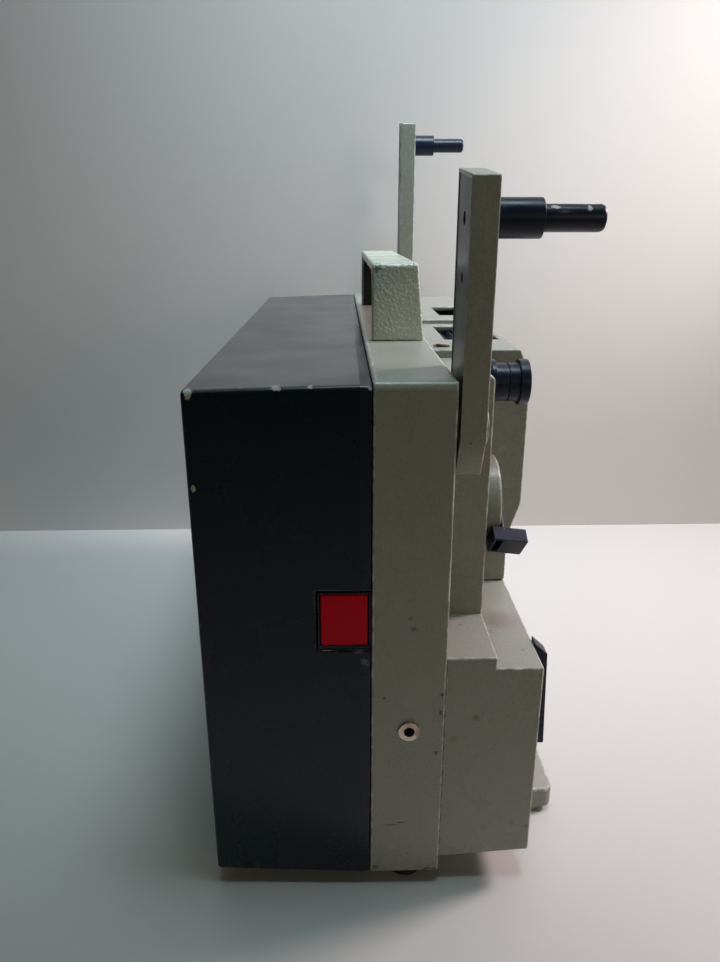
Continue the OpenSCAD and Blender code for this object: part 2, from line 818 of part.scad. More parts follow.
module vent_grille() {
    rim = 2;
    lip = 0.6;
    rim_t = 1.6;
    slat_t = 1.2;
    slant = 40;
    pitch = vent_w / vent_slats;
    half = pitch / 3;
    top = head_top - film_wall;
    drop = half * cos(slant) + slat_t / 2 * sin(slant);
    color(black) {
        difference() {
            block([vent_x - rim, vent_y - rim, top - rim_t],
                  [vent_x + vent_w + lip, vent_y + vent_len + rim, top]);
            block([vent_x, vent_y, top - rim_t - eps], [vent_x + vent_w - lip, vent_y + vent_len, top + eps]);
        }
        // Slanted slats along Y, let into the rim at both ends
        for (i = [0 : vent_slats - 1])
            translate([vent_x + (i + 0.5) * pitch, vent_y - rim / 2, top - drop]) rotate([0, slant, 0])
                translate([-slat_t / 2, 0, -half]) cube([slat_t, vent_len + rim, 2 * half]);
    }
}

module gate_cover() {
    slot_shift = 1.5;
    barrel_y = lug_y[0] + lug_len + gap;
    y = head_split + gap;
    len = film_end - y;
    color(body_grey) difference() {
        union() {
            difference() {
                along_y(y, len) head_outline(gate_top, 0, head_low);
                along_y(y - eps, len - film_wall + eps) head_outline(gate_top, film_wall, head_low - eps);
                // Lower edge cut back round the hinge axis, so that it swings clear of the plinth
                block([hinge_x, y - eps, head_low - eps], [plinth_x + eps, film_end + eps, hinge_z]);
            }
            // Hinge barrel between the lugs
            rod_y(barrel_y, lug_y[1] - gap - barrel_y, hinge_x, hinge_z, hinge_out);
        }
        rod_y(y - eps, len + 2 * eps, hinge_x, hinge_z, hinge_r + run_fit);
        // Room for the lugs
        for (ly = lug_y) {
            rod_y(ly - gap, lug_len + 2 * gap, hinge_x, hinge_z, hinge_out + gap);
            block([hinge_x - hinge_out - gap, ly - gap, head_low - eps],
                  [plinth_x + eps, ly + lug_len + gap, hinge_z]);
        }
        // Film slot in the roof
        block([optic_x - slot_w / 2 - slot_shift, gate_y - slot_len / 2, gate_top - film_wall - eps],
              [optic_x + slot_w / 2 - slot_shift, gate_y + slot_len / 2, gate_top + eps]);
        // Notch for the lens mount, wide enough to swing clear of it
        rod_y(film_end - film_wall - eps, film_wall + 2 * eps, optic_x, optic_z, mount_r + 2 * gap);
        block([head_x - eps, film_end - film_wall - eps, optic_z - 2.25 * mount_r],
              [optic_x, film_end + eps, optic_z + mount_r + 2 * gap]);
    }
}

module gate_hinge_pin() {
    color(steel) rod_y(lug_y[0], lug_y[1] - lug_y[0] + lug_len, hinge_x, hinge_z, hinge_r);
}

// Bar with a bevelled tip, and its journal with a collar behind the housing's side
module selector_knob() {
    low = bar_z - (bar_len + bar_tip) / 2;
    collar_x = plinth_x - film_wall - gap - bar_collar;
    color(black) {
        along_y(bar_y - bar_w / 2, bar_w) polygon([
            [bar_x, low],
            [bar_x + bar_d + bar_lean, low],
            [bar_x + bar_d, low + bar_len],
            [bar_x, low + bar_len + bar_tip]
        ]);
        rod_x(collar_x, bar_x - collar_x + bar_d / 2, bar_y, bar_z, bar_pin_r);
        rod_x(collar_x, bar_collar, bar_y, bar_z, 2 * bar_pin_r);
    }
}

module control_dial() {
    bevel = 0.8;
    root = 0.5;
    color(body_grey) translate([dial_x, dial_y, dial_z]) rotate([0, 90, 0]) rotate_extrude() polygon([
        [0, 0],
        [dial_r, 0],
        [dial_r, dial_t - bevel],
        [dial_r - bevel, dial_t],
        [0, dial_t]
    ]);
    color(body_grey)
        rod_x(post_x - 4 * film_wall, 4 * film_wall + gap + root, dial_y, dial_z, 1.5 * roller_pin_r);
}

module dial_lever() {
    face = dial_x + dial_t;
    rim_gap = 0.4;
    lap = 1.5;
    wall = 0.9;
    start = dial_r + rim_gap;
    half = lever_w / 2;
    color(black) translate([0, dial_y, dial_z]) rotate([lever_angle, 0, 0]) {
        // Thin bar on the dial's face, round at the hub
        rod_x(face, lever_t, 0, 0, half);
        block([face, 0, -half], [face + lever_t, start + lap, half]);
        // Paddle past the rim, hollow below the dial's face and open at its end
        translate([face, 0, 0]) rotate([0, -lever_droop, 0]) difference() {
            block([-lever_drop, start, -half], [lever_h, lever_reach, half]);
            block([wall - lever_drop, start + wall, wall - half], [-wall, lever_reach + eps, half - wall]);
        }
    }
}

module guide_roller() {
    flange_w = 3.4;
    inner_w = 1.6;
    groove_w = 0.5;
    groove_d = 0.5;
    mid = roller_x + (roller_w - flange_w + inner_w) / 2;
    color(black) difference() {
        union() {
            rod_x(roller_x, roller_w, roller_y, roller_z, roller_r);
            rod_x(roller_x, inner_w, roller_y, roller_z, roller_flange_r);
            rod_x(roller_x + roller_w - flange_w, flange_w, roller_y, roller_z, roller_flange_r);
        }
        difference() {
            rod_x(mid, groove_w, roller_y, roller_z, roller_r + eps);
            rod_x(mid - eps, groove_w + 2 * eps, roller_y, roller_z, roller_r - groove_d);
        }
        rod_x(roller_x - eps, roller_w - roller_end + eps, roller_y, roller_z, roller_pin_r + run_fit);
    }
}

module roller_pin() {
    start = post_x - 3 * film_wall;
    end = roller_x + roller_w - roller_end - eps;
    color(steel) rod_x(start, end - start, roller_y, roller_z, roller_pin_r);
}

module jack_socket() {
    barrel = 12;
    nut_t = 2;
    color(steel) difference() {
        union() {
            rod_y(-jack_proud, jack_proud, jack_x, jack_z, jack_r);
            rod_y(-jack_proud, barrel, jack_x, jack_z, jack_neck);
            rod_y(frame_wall, nut_t, jack_x, jack_z, jack_r);
        }
        rod_y(-jack_proud - eps, barrel - 1 + eps, jack_x, jack_z, jack_hole);
    }
}

module mains_inlet() {
    inner = frame_len - frame_wall;
    flange_t = 2;
    sunk = 0.4;
    well = inlet_d - frame_wall;
    color(black) difference() {
        union() {
            along_y(inner - inlet_d, inlet_d + frame_wall - sunk) inlet_outline(0);
            along_y(inner - flange_t, flange_t) inlet_outline(inlet_rim);
        }
        along_y(inner - well, well + frame_wall) inlet_outline(-inlet_rim);
    }
    color(steel) for (side = [-1, 1])
        rod_y(inner - well - eps, well, inlet_x + side * inlet_w / 4, inlet_z, inlet_pin_r);
}

module transformer_core() {
    window = (core_w - 3 * core_leg) / 2;
    color("#6d6a66") along_y(core_y - core_stack / 2, core_stack) difference() {
        translate([-core_x - core_w / 2, plate_top]) square([core_w, core_h]);
        for (x = [core_leg - core_w / 2, core_leg / 2])
            translate([x - core_x, plate_top + core_leg]) square([window, core_h - 2 * core_leg]);
    }
}

// Winding round the core's middle leg
module transformer_coil() {
    window = (core_w - 3 * core_leg) / 2;
    fit = 0.4;
    w = core_leg + 2 * (window - fit);
    len = core_stack + 2 * coil_over;
    corner = 3;
    color("#a8642e") translate([-core_x, core_y, plate_top + core_leg + fit])
        linear_extrude(core_h - 2 * core_leg - 2 * fit) difference() {
            rounded_rect(-w / 2, -len / 2, w, len, corner);
            square([core_leg, core_stack], center = true);
        }
}

module motor_body() {
    fins = 18;
    fin_in = 12;
    fin_d = 1.2;
    fin_half = 1;
    cap_len = 6;
    cap_step = 4;
    boss_len = 3;
    color("#5b6066") difference() {
        union() {
            rod_y(motor_y + cap_len, motor_len - 2 * cap_len, -motor_x, motor_z, motor_r);
            rod_y(motor_y, motor_len, -motor_x, motor_z, motor_r - cap_step);
            rod_y(motor_y - boss_len, motor_len + 2 * boss_len, -motor_x, motor_z, 2.5 * shaft_r);
        }
        for (i = [0 : fins - 1])
            translate([-motor_x, 0, motor_z]) rotate([0, i * 360 / fins, 0])
                block([motor_r - fin_d, motor_y + fin_in, -fin_half],
                      [motor_r + eps, motor_y + motor_len - fin_in, fin_half]);
        rod_y(motor_y - 2 * boss_len, motor_len + 4 * boss_len, -motor_x, motor_z, shaft_r + run_fit);
    }
}

module motor_bracket() {
    half = bracket_w / 2;
    toe = 5;
    toe_t = 3;
    saddle = motor_z - motor_r / 2;
    y = motor_y + (motor_len - bracket_len) / 2;
    color(steel) along_y(y, bracket_len) translate([-motor_x, 0]) difference() {
        polygon([
            [-half - toe, plate_top],
            [half + toe, plate_top],
            [half + toe, plate_top + toe_t],
            [half, plate_top + toe_t],
            [half, saddle],
            [-half, saddle],
            [-half, plate_top + toe_t],
            [-half - toe, plate_top + toe_t]
        ]);
        translate([0, motor_z]) circle(motor_r);
    }
}

// Pulley turned about Y, with its belt running between two flanges
module pulley_y_axis(y, x, z, groove) {
    rod_y(y, flange, x, z, groove + belt_gap + belt_t);
    rod_y(y, main_pulley_w, x, z, groove);
    rod_y(y + main_pulley_w - flange, flange, x, z, groove + belt_gap + belt_t);
}

module motor_shaft() {
    tip = 2;
    start = fan_y - tip;
    color(steel) {
        rod_y(start, pulley_y + main_pulley_w + tip - start, -motor_x, motor_z, shaft_r);
        pulley_y_axis(pulley_y, -motor_x, motor_z, motor_pulley_r);
    }
}

module cooling_fan() {
    y = fan_y;
    depth = 14;
    disc_t = 1.5;
    disc_in = 1;
    hub_r = 2.2 * shaft_r;
    blade_t = 1.2;
    rake = 18;
    blade_start = 0.45 * fan_r;
    blade_len = 0.5 * fan_r;
    color("#2c2c2e") difference() {
        union() {
            rod_y(y, depth, -motor_x, motor_z, hub_r);
            rod_y(y + depth - disc_t, disc_t, -motor_x, motor_z, fan_r - disc_in);
            // Straight blades, raked by half their pitch
            for (i = [0 : fan_blades - 1])
                translate([-motor_x, y, motor_z]) rotate([0, i * 360 / fan_blades, 0])
                    translate([blade_start, 0, -blade_t / 2]) rotate([0, rake, 0])
                        cube([blade_len, depth, blade_t]);
        }
        rod_y(y - eps, depth + 2 * eps, -motor_x, motor_z, shaft_r);
    }
}

module drive_belt() {
    way = [main_x + motor_x, main_z - motor_z];
    w = main_pulley_w - 2 * flange - 2 * belt_gap;
    color(black) along_y(pulley_y + flange + belt_gap, w) translate([-motor_x, motor_z])
        rotate(atan2(way.y, way.x)) belt_loop(motor_pulley_r + belt_gap, main_pulley_r + belt_gap, norm(way));
}

module main_shaft() {
    color(steel) rod_y(shaft_start, shaft_end - shaft_start, main_x, main_z, shaft_r);
}

module shaft_bearings() {
    half = shaft_r + 1.5;
    foot_t = 2.5;
    foot_half = 2.4 * half;
    color("#c9a24a") for (y = bearing_y) difference() {
        union() {
            block([main_x, y, main_z - half], [wall_in, y + bearing_w, main_z + half]);
            rod_y(y, bearing_w, main_x, main_z, half);
            block([wall_in - foot_t, y, main_z - foot_half], [wall_in, y + bearing_w, main_z + foot_half]);
        }
        rod_y(y - eps, bearing_w + 2 * eps, main_x, main_z, shaft_r + run_fit);
    }
}

module main_pulley() {
    color("#3a3a3c") difference() {
        pulley_y_axis(pulley_y, main_x, main_z, main_pulley_r);
        rod_y(pulley_y - eps, main_pulley_w + 2 * eps, main_x, main_z, shaft_r);
    }
}

// One worm: a square thread wound on a sleeve, with its gap facing the gear at mid length
module worm(y) {
    share = 63;
    tip = worm_r + tooth_add;
    difference() {
        translate([main_x, y - worm_len / 2, main_z]) rotate([-90, 0, 0])
            linear_extrude(worm_len, twist = -360 * worm_turns, slices = 8 * worm_turns) {
                circle(worm_r - tooth_ded, $fn = 12);
                intersection() {
                    circle(tip, $fn = 16);
                    polygon([[0, 0], 2 * tip * [cos(90 - share), sin(90 - share)], [0, 3 * tip],
                             2 * tip * [cos(90 + share), sin(90 + share)]]);
                }
            }
        rod_y(y - worm_len, 2 * worm_len, main_x, main_z, shaft_r);
    }
}

module drive_worms() {
    color("#d9d4c4") for (y = [takeup_y, rewind_y]) worm(y);
}

module shutter() {
    hub = 8;
    hub_len = 8;
    ring = 15;
    step = 360 / shutter_blades;
    open = step / 2;
    color(black) translate([main_x, shutter_y, main_z]) rotate([-90, 0, 0]) difference() {
        union() {
            linear_extrude(shutter_t) difference() {
                circle(shutter_r);
                for (i = [0 : shutter_blades - 1]) rotate(i * step) difference() {
                    polygon([[0, 0], 2 * shutter_r * [cos(open / 2), -sin(open / 2)],
                             2 * shutter_r * [cos(open / 2), sin(open / 2)]]);
                    circle(ring);
                }
            }
            translate([0, 0, (shutter_t - hub_len) / 2]) cylinder(h = hub_len, r = hub);
        }
        translate([0, 0, -hub_len]) cylinder(h = 2 * hub_len, r = shaft_r);
    }
}

// Gear with its belt pulley, turning on a stud of the frame
module belt_gear(y) {
    root = gear_pitch_r - tooth_ded;
    tip = gear_pitch_r + tooth_add;
    root_w = 1.2 * worm_module;
    tip_w = 0.7 * worm_module;
    sunk = 0.4;
    color("#e2ddcf") difference() {
        union() {
            pulley_x_axis(pulley_x, pulley_w, y, gear_z, small_pulley_r);
            rod_x(pulley_x, gear_x + gear_w - pulley_x, y, gear_z, 2 * stud_r);
            rod_x(gear_x, gear_w, y, gear_z, root);
            // Teeth, the first one straight up into the worm's gap
            translate([0, y, gear_z]) for (i = [0 : gear_teeth - 1]) rotate([i * 360 / gear_teeth, 0, 0])
                along_x(gear_x, gear_w) polygon([
                    [-root_w / 2, root - sunk],
                    [root_w / 2, root - sunk],
                    [tip_w / 2, tip],
                    [-tip_w / 2, tip]
                ]);
        }
        rod_x(pulley_x - eps, gear_x + gear_w, y, gear_z, stud_r + run_fit);
    }
}

module takeup_gear() belt_gear(takeup_y);

module rewind_gear() belt_gear(rewind_y);

module frame_belt(y, to) {
    color(black) belt_x_axis(pulley_x + flange + belt_gap, belt_w, [y, gear_z], [to, pivot_z],
        small_pulley_r, arm_pulley_r);
}

module takeup_belt() frame_belt(takeup_y, rear_pivot_y);

module rewind_belt() frame_belt(rewind_y, front_y);

module arm_bushes() {
    back = 4;
    collar = 3;
    collar_rim = 2.5;
    color("#c9a24a") for (arm = [[rear_pivot_y, rear_arm_off], [front_y, front_arm_off]]) difference() {
        union() {
            rod_x(wall_in - back, back + frame_wall + arm[1] + plate_in + plate_t, arm[0], pivot_z, bush_r);
            rod_x(wall_in - collar, collar, arm[0], pivot_z, bush_r + collar_rim);
        }
        rod_x(0, 2 * frame_w, arm[0], pivot_z, drive_r + run_fit);
    }
}

module drive_shaft(y, off) {
    x = frame_w + off + arm_pulley_x;
    color(steel) {
        rod_x(pulley_x, x + arm_pulley_w - pulley_x, y, pivot_z, drive_r);
        pulley_x_axis(pulley_x, pulley_w, y, pivot_z, arm_pulley_r);
        pulley_x_axis(x, arm_pulley_w, y, pivot_z, arm_pulley_r);
    }
}

module rear_drive_shaft() drive_shaft(rear_pivot_y, rear_arm_off);

module front_drive_shaft() drive_shaft(front_y, front_arm_off);

// Arm outline with a chamfered tail and a sloping end, drawn from its pivot and inset on sides and ends
module arm_outline(reach, side, end) {
    half = arm_w / 2 - side;
    chamfer = 1.5;
    tail_share = 0.7;
    tail = tail_w - tail_share * side;
    top = reach + arm_end - end;
    rise = arm_slope * half / arm_w;
    polygon([
        [-half, -chamfer],
        [-tail, end - arm_tail],
        [tail, end - arm_tail],
        [half, -chamfer],
        [half, top + rise],
        [-half, top - rise]
    ]);
}

module arm_shell(y, off, reach) {
    x = frame_w + off;
    color(body_grey) difference() {
        union() {
            along_x(x, arm_t) translate([y, pivot_z]) arm_outline(reach, 0, 0);
            rod_x(x + arm_t - eps, cap_h + eps, y, pivot_z, cap_r);
        }
        // Seat of the back plate, and the room behind it
        along_x(x - eps, plate_in + plate_t + eps) translate([y, pivot_z]) arm_outline(reach, arm_rim, end_rim);
        along_x(x - eps, arm_t - arm_wall + eps) translate([y, pivot_z]) arm_outline(reach, arm_wall, arm_wall);
        rod_x(x, arm_t + eps, y, pivot_z + reach, journal_r + run_fit);
    }
}

module arm_plate(y, off, reach) {
    hole_r = [2, 1.6];
    hole_step = 16.8;
    color("#39434c") difference() {
        along_x(frame_w + off + plate_in, plate_t) translate([y, pivot_z]) arm_outline(reach, arm_rim, end_rim);
        rod_x(frame_w, arm_t + off, y, pivot_z, bush_r + run_fit);
        for (i = [0, 1]) rod_x(frame_w, arm_t + off, y, pivot_z + reach - i * hole_step, hole_r[i]);
    }
}

module arm_belt(y, off, reach) {
    x = frame_w + off + arm_pulley_x + flange + belt_gap;
    color(black) belt_x_axis(x, arm_belt_w, [y, pivot_z], [y, pivot_z + reach], arm_pulley_r, arm_pulley_r);
}

module spindle(y, off, reach) {
    x = frame_w + off;
    z = pivot_z + reach;
    seat = frame_w + reel_seat;
    key_w = 1.6;
    key_d = 0.6;
    key_len = 5;
    key_end = seat + spindle_len - key_w;
    color(black) difference() {
        union() {
            pulley_x_axis(x + arm_pulley_x, arm_pulley_w, y, z, arm_pulley_r);
            rod_x(x + arm_pulley_x, arm_t, y, z, journal_r);
            rod_x(x + arm_t + gap, seat - x - arm_t - gap, y, z, shoulder_r);
            rod_x(seat - eps, spindle_len + eps, y, z, spindle_r);
        }
        // Keyway near the tip, for the reel's catch
        block([key_end - key_len, y - key_w / 2, z + spindle_r - key_d],
              [key_end, y + key_w / 2, z + spindle_r + eps]);
    }
}

module rear_arm() arm_shell(rear_pivot_y, rear_arm_off, rear_reach);

module rear_arm_plate() arm_plate(rear_pivot_y, rear_arm_off, rear_reach);

module rear_arm_belt() arm_belt(rear_pivot_y, rear_arm_off, rear_reach);

module rear_spindle() spindle(rear_pivot_y, rear_arm_off, rear_reach);

module front_arm() arm_shell(front_y, front_arm_off, front_reach);

module front_arm_plate() arm_plate(front_y, front_arm_off, front_reach);

module front_arm_belt() arm_belt(front_y, front_arm_off, front_reach);

module front_spindle() spindle(front_y, front_arm_off, front_reach);

module lamp_socket() {
    shelf_t = 2.5;
    half = socket_w / 2;
    tab_h = 10;
    edge = 2;
    color("#d8d5cb") block([optic_x - half, lamp_y - half, socket_low],
                           [optic_x + half, lamp_y + half, socket_low + socket_h]);
    // Bent shelf under the socket, reaching back under the reflector
    color(steel) {
        block([frame_w, lamp_y - mirror_off - edge, socket_low - shelf_t],
              [optic_x + half, lamp_y + half + edge, socket_low]);
        block([frame_w, lamp_y - half - edge, socket_low - shelf_t],
              [frame_w + shelf_t, lamp_y + half + edge, socket_low + tab_h]);
    }
}

module lamp_bulb() {
    base = socket_low + socket_h;
    neck = 3;
    neck_r = 0.7 * lamp_r;
    low = base + neck - 0.5;
    high = optic_z + 3;
    color("#e8f0f2") union() {
        rod_z(base, neck, optic_x, lamp_y, neck_r);
        rod_z(low, high - low, optic_x, lamp_y, lamp_r);
        translate([optic_x, lamp_y, high]) sphere(lamp_r);
    }
}

module reflector() {
    bowl = 1.6 * condenser_r;
    t = 0.8;
    y = lamp_y - mirror_off;
    stem = 3;
    depth = 6;
    color(steel) {
        difference() {
            intersection() {
                translate([optic_x, y + bowl, optic_z]) sphere(bowl);
                rod_y(y - eps, depth + eps, optic_x, optic_z, condenser_r);
            }
            translate([optic_x, y + bowl, optic_z]) sphere(bowl - t);
        }
        block([optic_x - stem / 2, y - t, socket_low], [optic_x + stem / 2, y + t / 2, optic_z]);
    }
}

module condenser() {
    y = head_split + cell_gap;
    rim = 1.5;
    arm_half = 4;
    arm_in = 1;
    color(steel) difference() {
        union() {
            rod_y(y, cell_w, optic_x, optic_z, condenser_r + rim);
            block([frame_w, y + arm_in, optic_z - arm_half],
                  [optic_x - condenser_r, y + cell_w - arm_in, optic_z + arm_half]);
        }
        rod_y(y - eps, cell_w + 2 * eps, optic_x, optic_z, condenser_r);
    }
    color("#cfe4ea") lens_element(y + cell_w / 2, condenser_r, cell_edge, cell_dome);
}

module gate_plate() {
    low = optic_z - gate_half;
    high = optic_z + gate_half;
    edge = 6;
    foot = 10;
    pin_root = 0.5;
    pin_len = 9;
    claw_w = 1.2;
    claw_gap = 0.4;
    claw_len = 7.5;
    claw_top = optic_z - aperture_h / 2 - 1.5;
    claw_x = optic_x - aperture_w / 2 - claw_gap - claw_w;
    color(steel) difference() {
        union() {
            block([frame_w, gate_y, low], [optic_x + edge, gate_y + gate_t, high]);
            block([frame_w, gate_y, low], [frame_w + gate_t, gate_y + foot, high]);
            for (side = [-1, 1])
                rod_y(gate_y + pin_root, gate_t + pin_len, optic_x, optic_z + side * press_pin_z, press_pin_r);
        }
        block([optic_x - aperture_w / 2, gate_y - eps, optic_z - aperture_h / 2],
              [optic_x + aperture_w / 2, gate_y + gate_t + eps, optic_z + aperture_h / 2]);
        // Claw slot beside the aperture
        block([claw_x, gate_y - eps, claw_top - claw_len], [claw_x + claw_w, gate_y + gate_t + eps, claw_top]);
    }
}

module pressure_plate() {
    y = gate_y + gate_t + press_gap;
    half_w = 5;
    half_h = press_pin_z + 4;
    window_w = aperture_w / 2 + 0.5;
    window_h = aperture_h / 2 + 0.5;
    color("#9fa3a6") difference() {
        block([optic_x - half_w, y, optic_z - half_h], [optic_x + half_w, y + press_t, optic_z + half_h]);
        block([optic_x - window_w, y - eps, optic_z - window_h],
              [optic_x + window_w, y + press_t + eps, optic_z + window_h]);
        for (side = [-1, 1])
            rod_y(y - eps, press_t + 2 * eps, optic_x, optic_z + side * press_pin_z, press_pin_r + run_fit);
    }
}

module lens_mount() {
    web = 7;
    pad_half = 16;
    pad_t = 3;
    pad_out = 4;
    web_y = mount_y + mount_lead;
    web_end = film_end - web_back;
    color("#7b8078") difference() {
        union() {
            rod_y(mount_y, mount_end - mount_y, optic_x, optic_z, mount_r);
            block([frame_w, web_y, optic_z - web], [optic_x - lens_r, web_end, optic_z + web]);
            block([frame_w, web_y - pad_out, optic_z - pad_half],
                  [frame_w + pad_t, web_end + pad_out, optic_z + pad_half]);
        }
        rod_y(mount_y - eps, mount_end - mount_y + 2 * eps, optic_x, optic_z, lens_r + run_fit);
    }
}

module lens_barrel() {
    color(black) difference() {
        rod_y(lens_y, lens_len, optic_x, optic_z, lens_r);
        rod_y(lens_y - eps, lens_len + 2 * eps, optic_x, optic_z, lens_r - lens_wall);
    }
}

// Lens element with two domed faces, turned about the optical axis
module lens_element(y, r, edge, dome) {
    bulge = (r * r + dome * dome) / (2 * dome);
    translate([optic_x, y, optic_z]) rotate([-90, 0, 0]) rotate_extrude() intersection() {
        translate([0, -edge / 2 - dome]) square([r, edge + 2 * dome]);
        translate([0, edge / 2 + dome - bulge]) circle(bulge);
        translate([0, bulge - dome - edge / 2]) circle(bulge);
    }
}

module lens_glass() {
    inset = [5, 7];
    edge = 3;
    dome = 1.2;
    color("#9db7c4") for (y = [lens_y + inset[0], lens_y + lens_len - inset[1]])
        lens_element(y, lens_r - lens_wall, edge, dome);
}

module focus_ring() {
    flutes = 24;
    flute_r = 0.6;
    flute_out = 0.9;
    start = film_end + 1;
    color(black) difference() {
        rod_y(start, ring_w, optic_x, optic_z, ring_r + flute_r);
        rod_y(start - eps, ring_w + 2 * eps, optic_x, optic_z, mount_r + run_fit);
        for (i = [0 : flutes - 1])
            translate([optic_x, 0, optic_z]) rotate([0, i * 360 / flutes, 0])
                rod_y(start + eps, ring_w - 2 * eps, ring_r + flute_out, 0, flute_r);
    }
}

// Centre of the outline in plan is the origin
module placed() translate([-mid_x, -mid_y, 0]) children();

placed() main_frame();
placed() chassis_plate();
placed() rubber_feet();
placed() back_cover();
placed() button_bezel();
placed() release_button();
placed() handle();
placed() handle_liner();
placed() film_housing();
placed() base_plate();
placed() lamphouse();
placed() vent_grille();
placed() gate_cover();
placed() gate_hinge_pin();
placed() selector_knob();
placed() control_dial();
placed() dial_lever();
placed() guide_roller();
placed() roller_pin();
placed() jack_socket();
placed() mains_inlet();
placed() transformer_core();
placed() transformer_coil();
placed() motor_body();
placed() motor_bracket();
placed() motor_shaft();
placed() cooling_fan();
placed() drive_belt();
placed() main_shaft();
placed() shaft_bearings();
placed() main_pulley();
placed() drive_worms();
placed() shutter();
placed() takeup_gear();
placed() rewind_gear();
placed() takeup_belt();
placed() rewind_belt();
placed() arm_bushes();
placed() rear_drive_shaft();
placed() front_drive_shaft();
placed() rear_arm();
placed() rear_arm_plate();
placed() rear_arm_belt();
placed() rear_spindle();
placed() front_arm();
placed() front_arm_plate();
placed() front_arm_belt();
placed() front_spindle();
placed() lamp_socket();
placed() lamp_bulb();
placed() reflector();
placed() condenser();
placed() gate_plate();
placed() pressure_plate();
placed() lens_mount();
placed() lens_barrel();
placed() lens_glass();
placed() focus_ring();
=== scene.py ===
import json
import math

import bmesh
import bpy
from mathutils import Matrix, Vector

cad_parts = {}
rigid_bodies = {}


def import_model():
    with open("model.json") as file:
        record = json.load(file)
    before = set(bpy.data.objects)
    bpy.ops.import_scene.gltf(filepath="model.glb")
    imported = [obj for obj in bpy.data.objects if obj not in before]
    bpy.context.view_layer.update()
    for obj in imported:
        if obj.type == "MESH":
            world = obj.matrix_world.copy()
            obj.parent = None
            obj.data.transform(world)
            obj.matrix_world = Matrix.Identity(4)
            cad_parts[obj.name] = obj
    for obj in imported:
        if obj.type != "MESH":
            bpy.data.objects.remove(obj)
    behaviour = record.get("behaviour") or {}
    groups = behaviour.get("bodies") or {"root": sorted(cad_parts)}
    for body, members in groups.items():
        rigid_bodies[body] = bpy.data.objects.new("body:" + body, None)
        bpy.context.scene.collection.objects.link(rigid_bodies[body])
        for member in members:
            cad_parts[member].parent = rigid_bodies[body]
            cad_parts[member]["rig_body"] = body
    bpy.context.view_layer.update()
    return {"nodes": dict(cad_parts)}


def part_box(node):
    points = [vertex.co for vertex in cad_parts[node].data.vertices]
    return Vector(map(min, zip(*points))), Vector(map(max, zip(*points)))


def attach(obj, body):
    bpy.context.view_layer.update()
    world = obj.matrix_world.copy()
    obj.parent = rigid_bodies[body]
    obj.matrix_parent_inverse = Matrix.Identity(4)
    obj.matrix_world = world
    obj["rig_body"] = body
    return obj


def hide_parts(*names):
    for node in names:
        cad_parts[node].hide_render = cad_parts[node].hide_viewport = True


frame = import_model()
nodes = frame["nodes"]

MM = 0.001
MERGE = 0.002 * MM
FLAT = math.radians(0.6)
SHARP = math.radians(28)
CREASE = math.radians(32)
ON_PLANE = 0.05 * MM
ON_FACE = 0.2 * MM
STANDARD_SHINE = 0.5

LENS_LENGTH = 27.69
CAMERA_PLACE = (-0.01993, -0.36455, 0.2343)
CAMERA_PITCH = 70.91
CAMERA_YAW = -1.53

TABLE_HALF = 2.0
WALL_Y = 0.196
WALL_HALF = 1.6
WALL_TOP = 1.5


# Camera

def make_camera():
    """Camera close behind the rear face, a little above the projector and looking down its length."""
    lens = bpy.data.cameras.new("camera")
    lens.lens = LENS_LENGTH
    lens.sensor_width = 36
    lens.clip_start = 0.01
    camera = bpy.data.objects.new("camera", lens)
    camera.location = CAMERA_PLACE
    camera.rotation_euler = (math.radians(CAMERA_PITCH), 0, math.radians(CAMERA_YAW))
    bpy.context.scene.collection.objects.link(camera)
    bpy.context.scene.camera = camera


make_camera()


# Shader building

def tint(red, green, blue):
    """A colour given as 0 to 255 on screen, as the linear colour that shaders use."""
    def linear(value):
        share = value / 255
        return share / 12.92 if share <= 0.04045 else ((share + 0.055) / 1.055) ** 2.4
    return (linear(red), linear(green), linear(blue), 1.0)


def shade(tree, kind, inputs=None, **settings):
    """Add a shader node, change its settings, and set or link its inputs."""
    made = tree.nodes.new(kind)
    for name, value in settings.items():
        setattr(made, name, value)
    for name, value in (inputs or {}).items():
        if isinstance(value, bpy.types.NodeSocket):
            tree.links.new(value, made.inputs[name])
        else:
            made.inputs[name].default_value = value
    return made


def calc(tree, operation, *values, clamp=False):
    """Maths on the given numbers."""
    made = shade(tree, "ShaderNodeMath", dict(enumerate(values)), operation=operation, use_clamp=clamp)
    return made.outputs[0]


def combine(tree, operation, *values):
    """Vector maths on the given vectors."""
    return shade(tree, "ShaderNodeVectorMath", dict(enumerate(values)), operation=operation).outputs[0]


def span(tree, value, low, high, to_low=0.0, to_high=1.0):
    """Map a value from one span to another, easing at both ends."""
    ends = {"Value": value, "From Min": low, "From Max": high, "To Min": to_low, "To Max": to_high}
    return shade(tree, "ShaderNodeMapRange", ends, interpolation_type="SMOOTHSTEP").outputs[0]


def place(tree):
    """The piece's own coordinates, in metres."""
    return shade(tree, "ShaderNodeTexCoord").outputs["Object"]


def noise(tree, scale, detail=2.0, vector=None):
    """Soft noise from 0 to 1, on the piece's own coordinates unless others are given."""
    points = place(tree) if vector is None else vector
    return shade(tree, "ShaderNodeTexNoise", {"Vector": points, "Scale": scale, "Detail": detail}).outputs[0]


def cover_with(tree, mask, under, over):
    """One colour over another where the mask is white."""
    return shade(tree, "ShaderNodeMix", {0: mask, 6: under, 7: over}, data_type="RGBA").outputs[2]


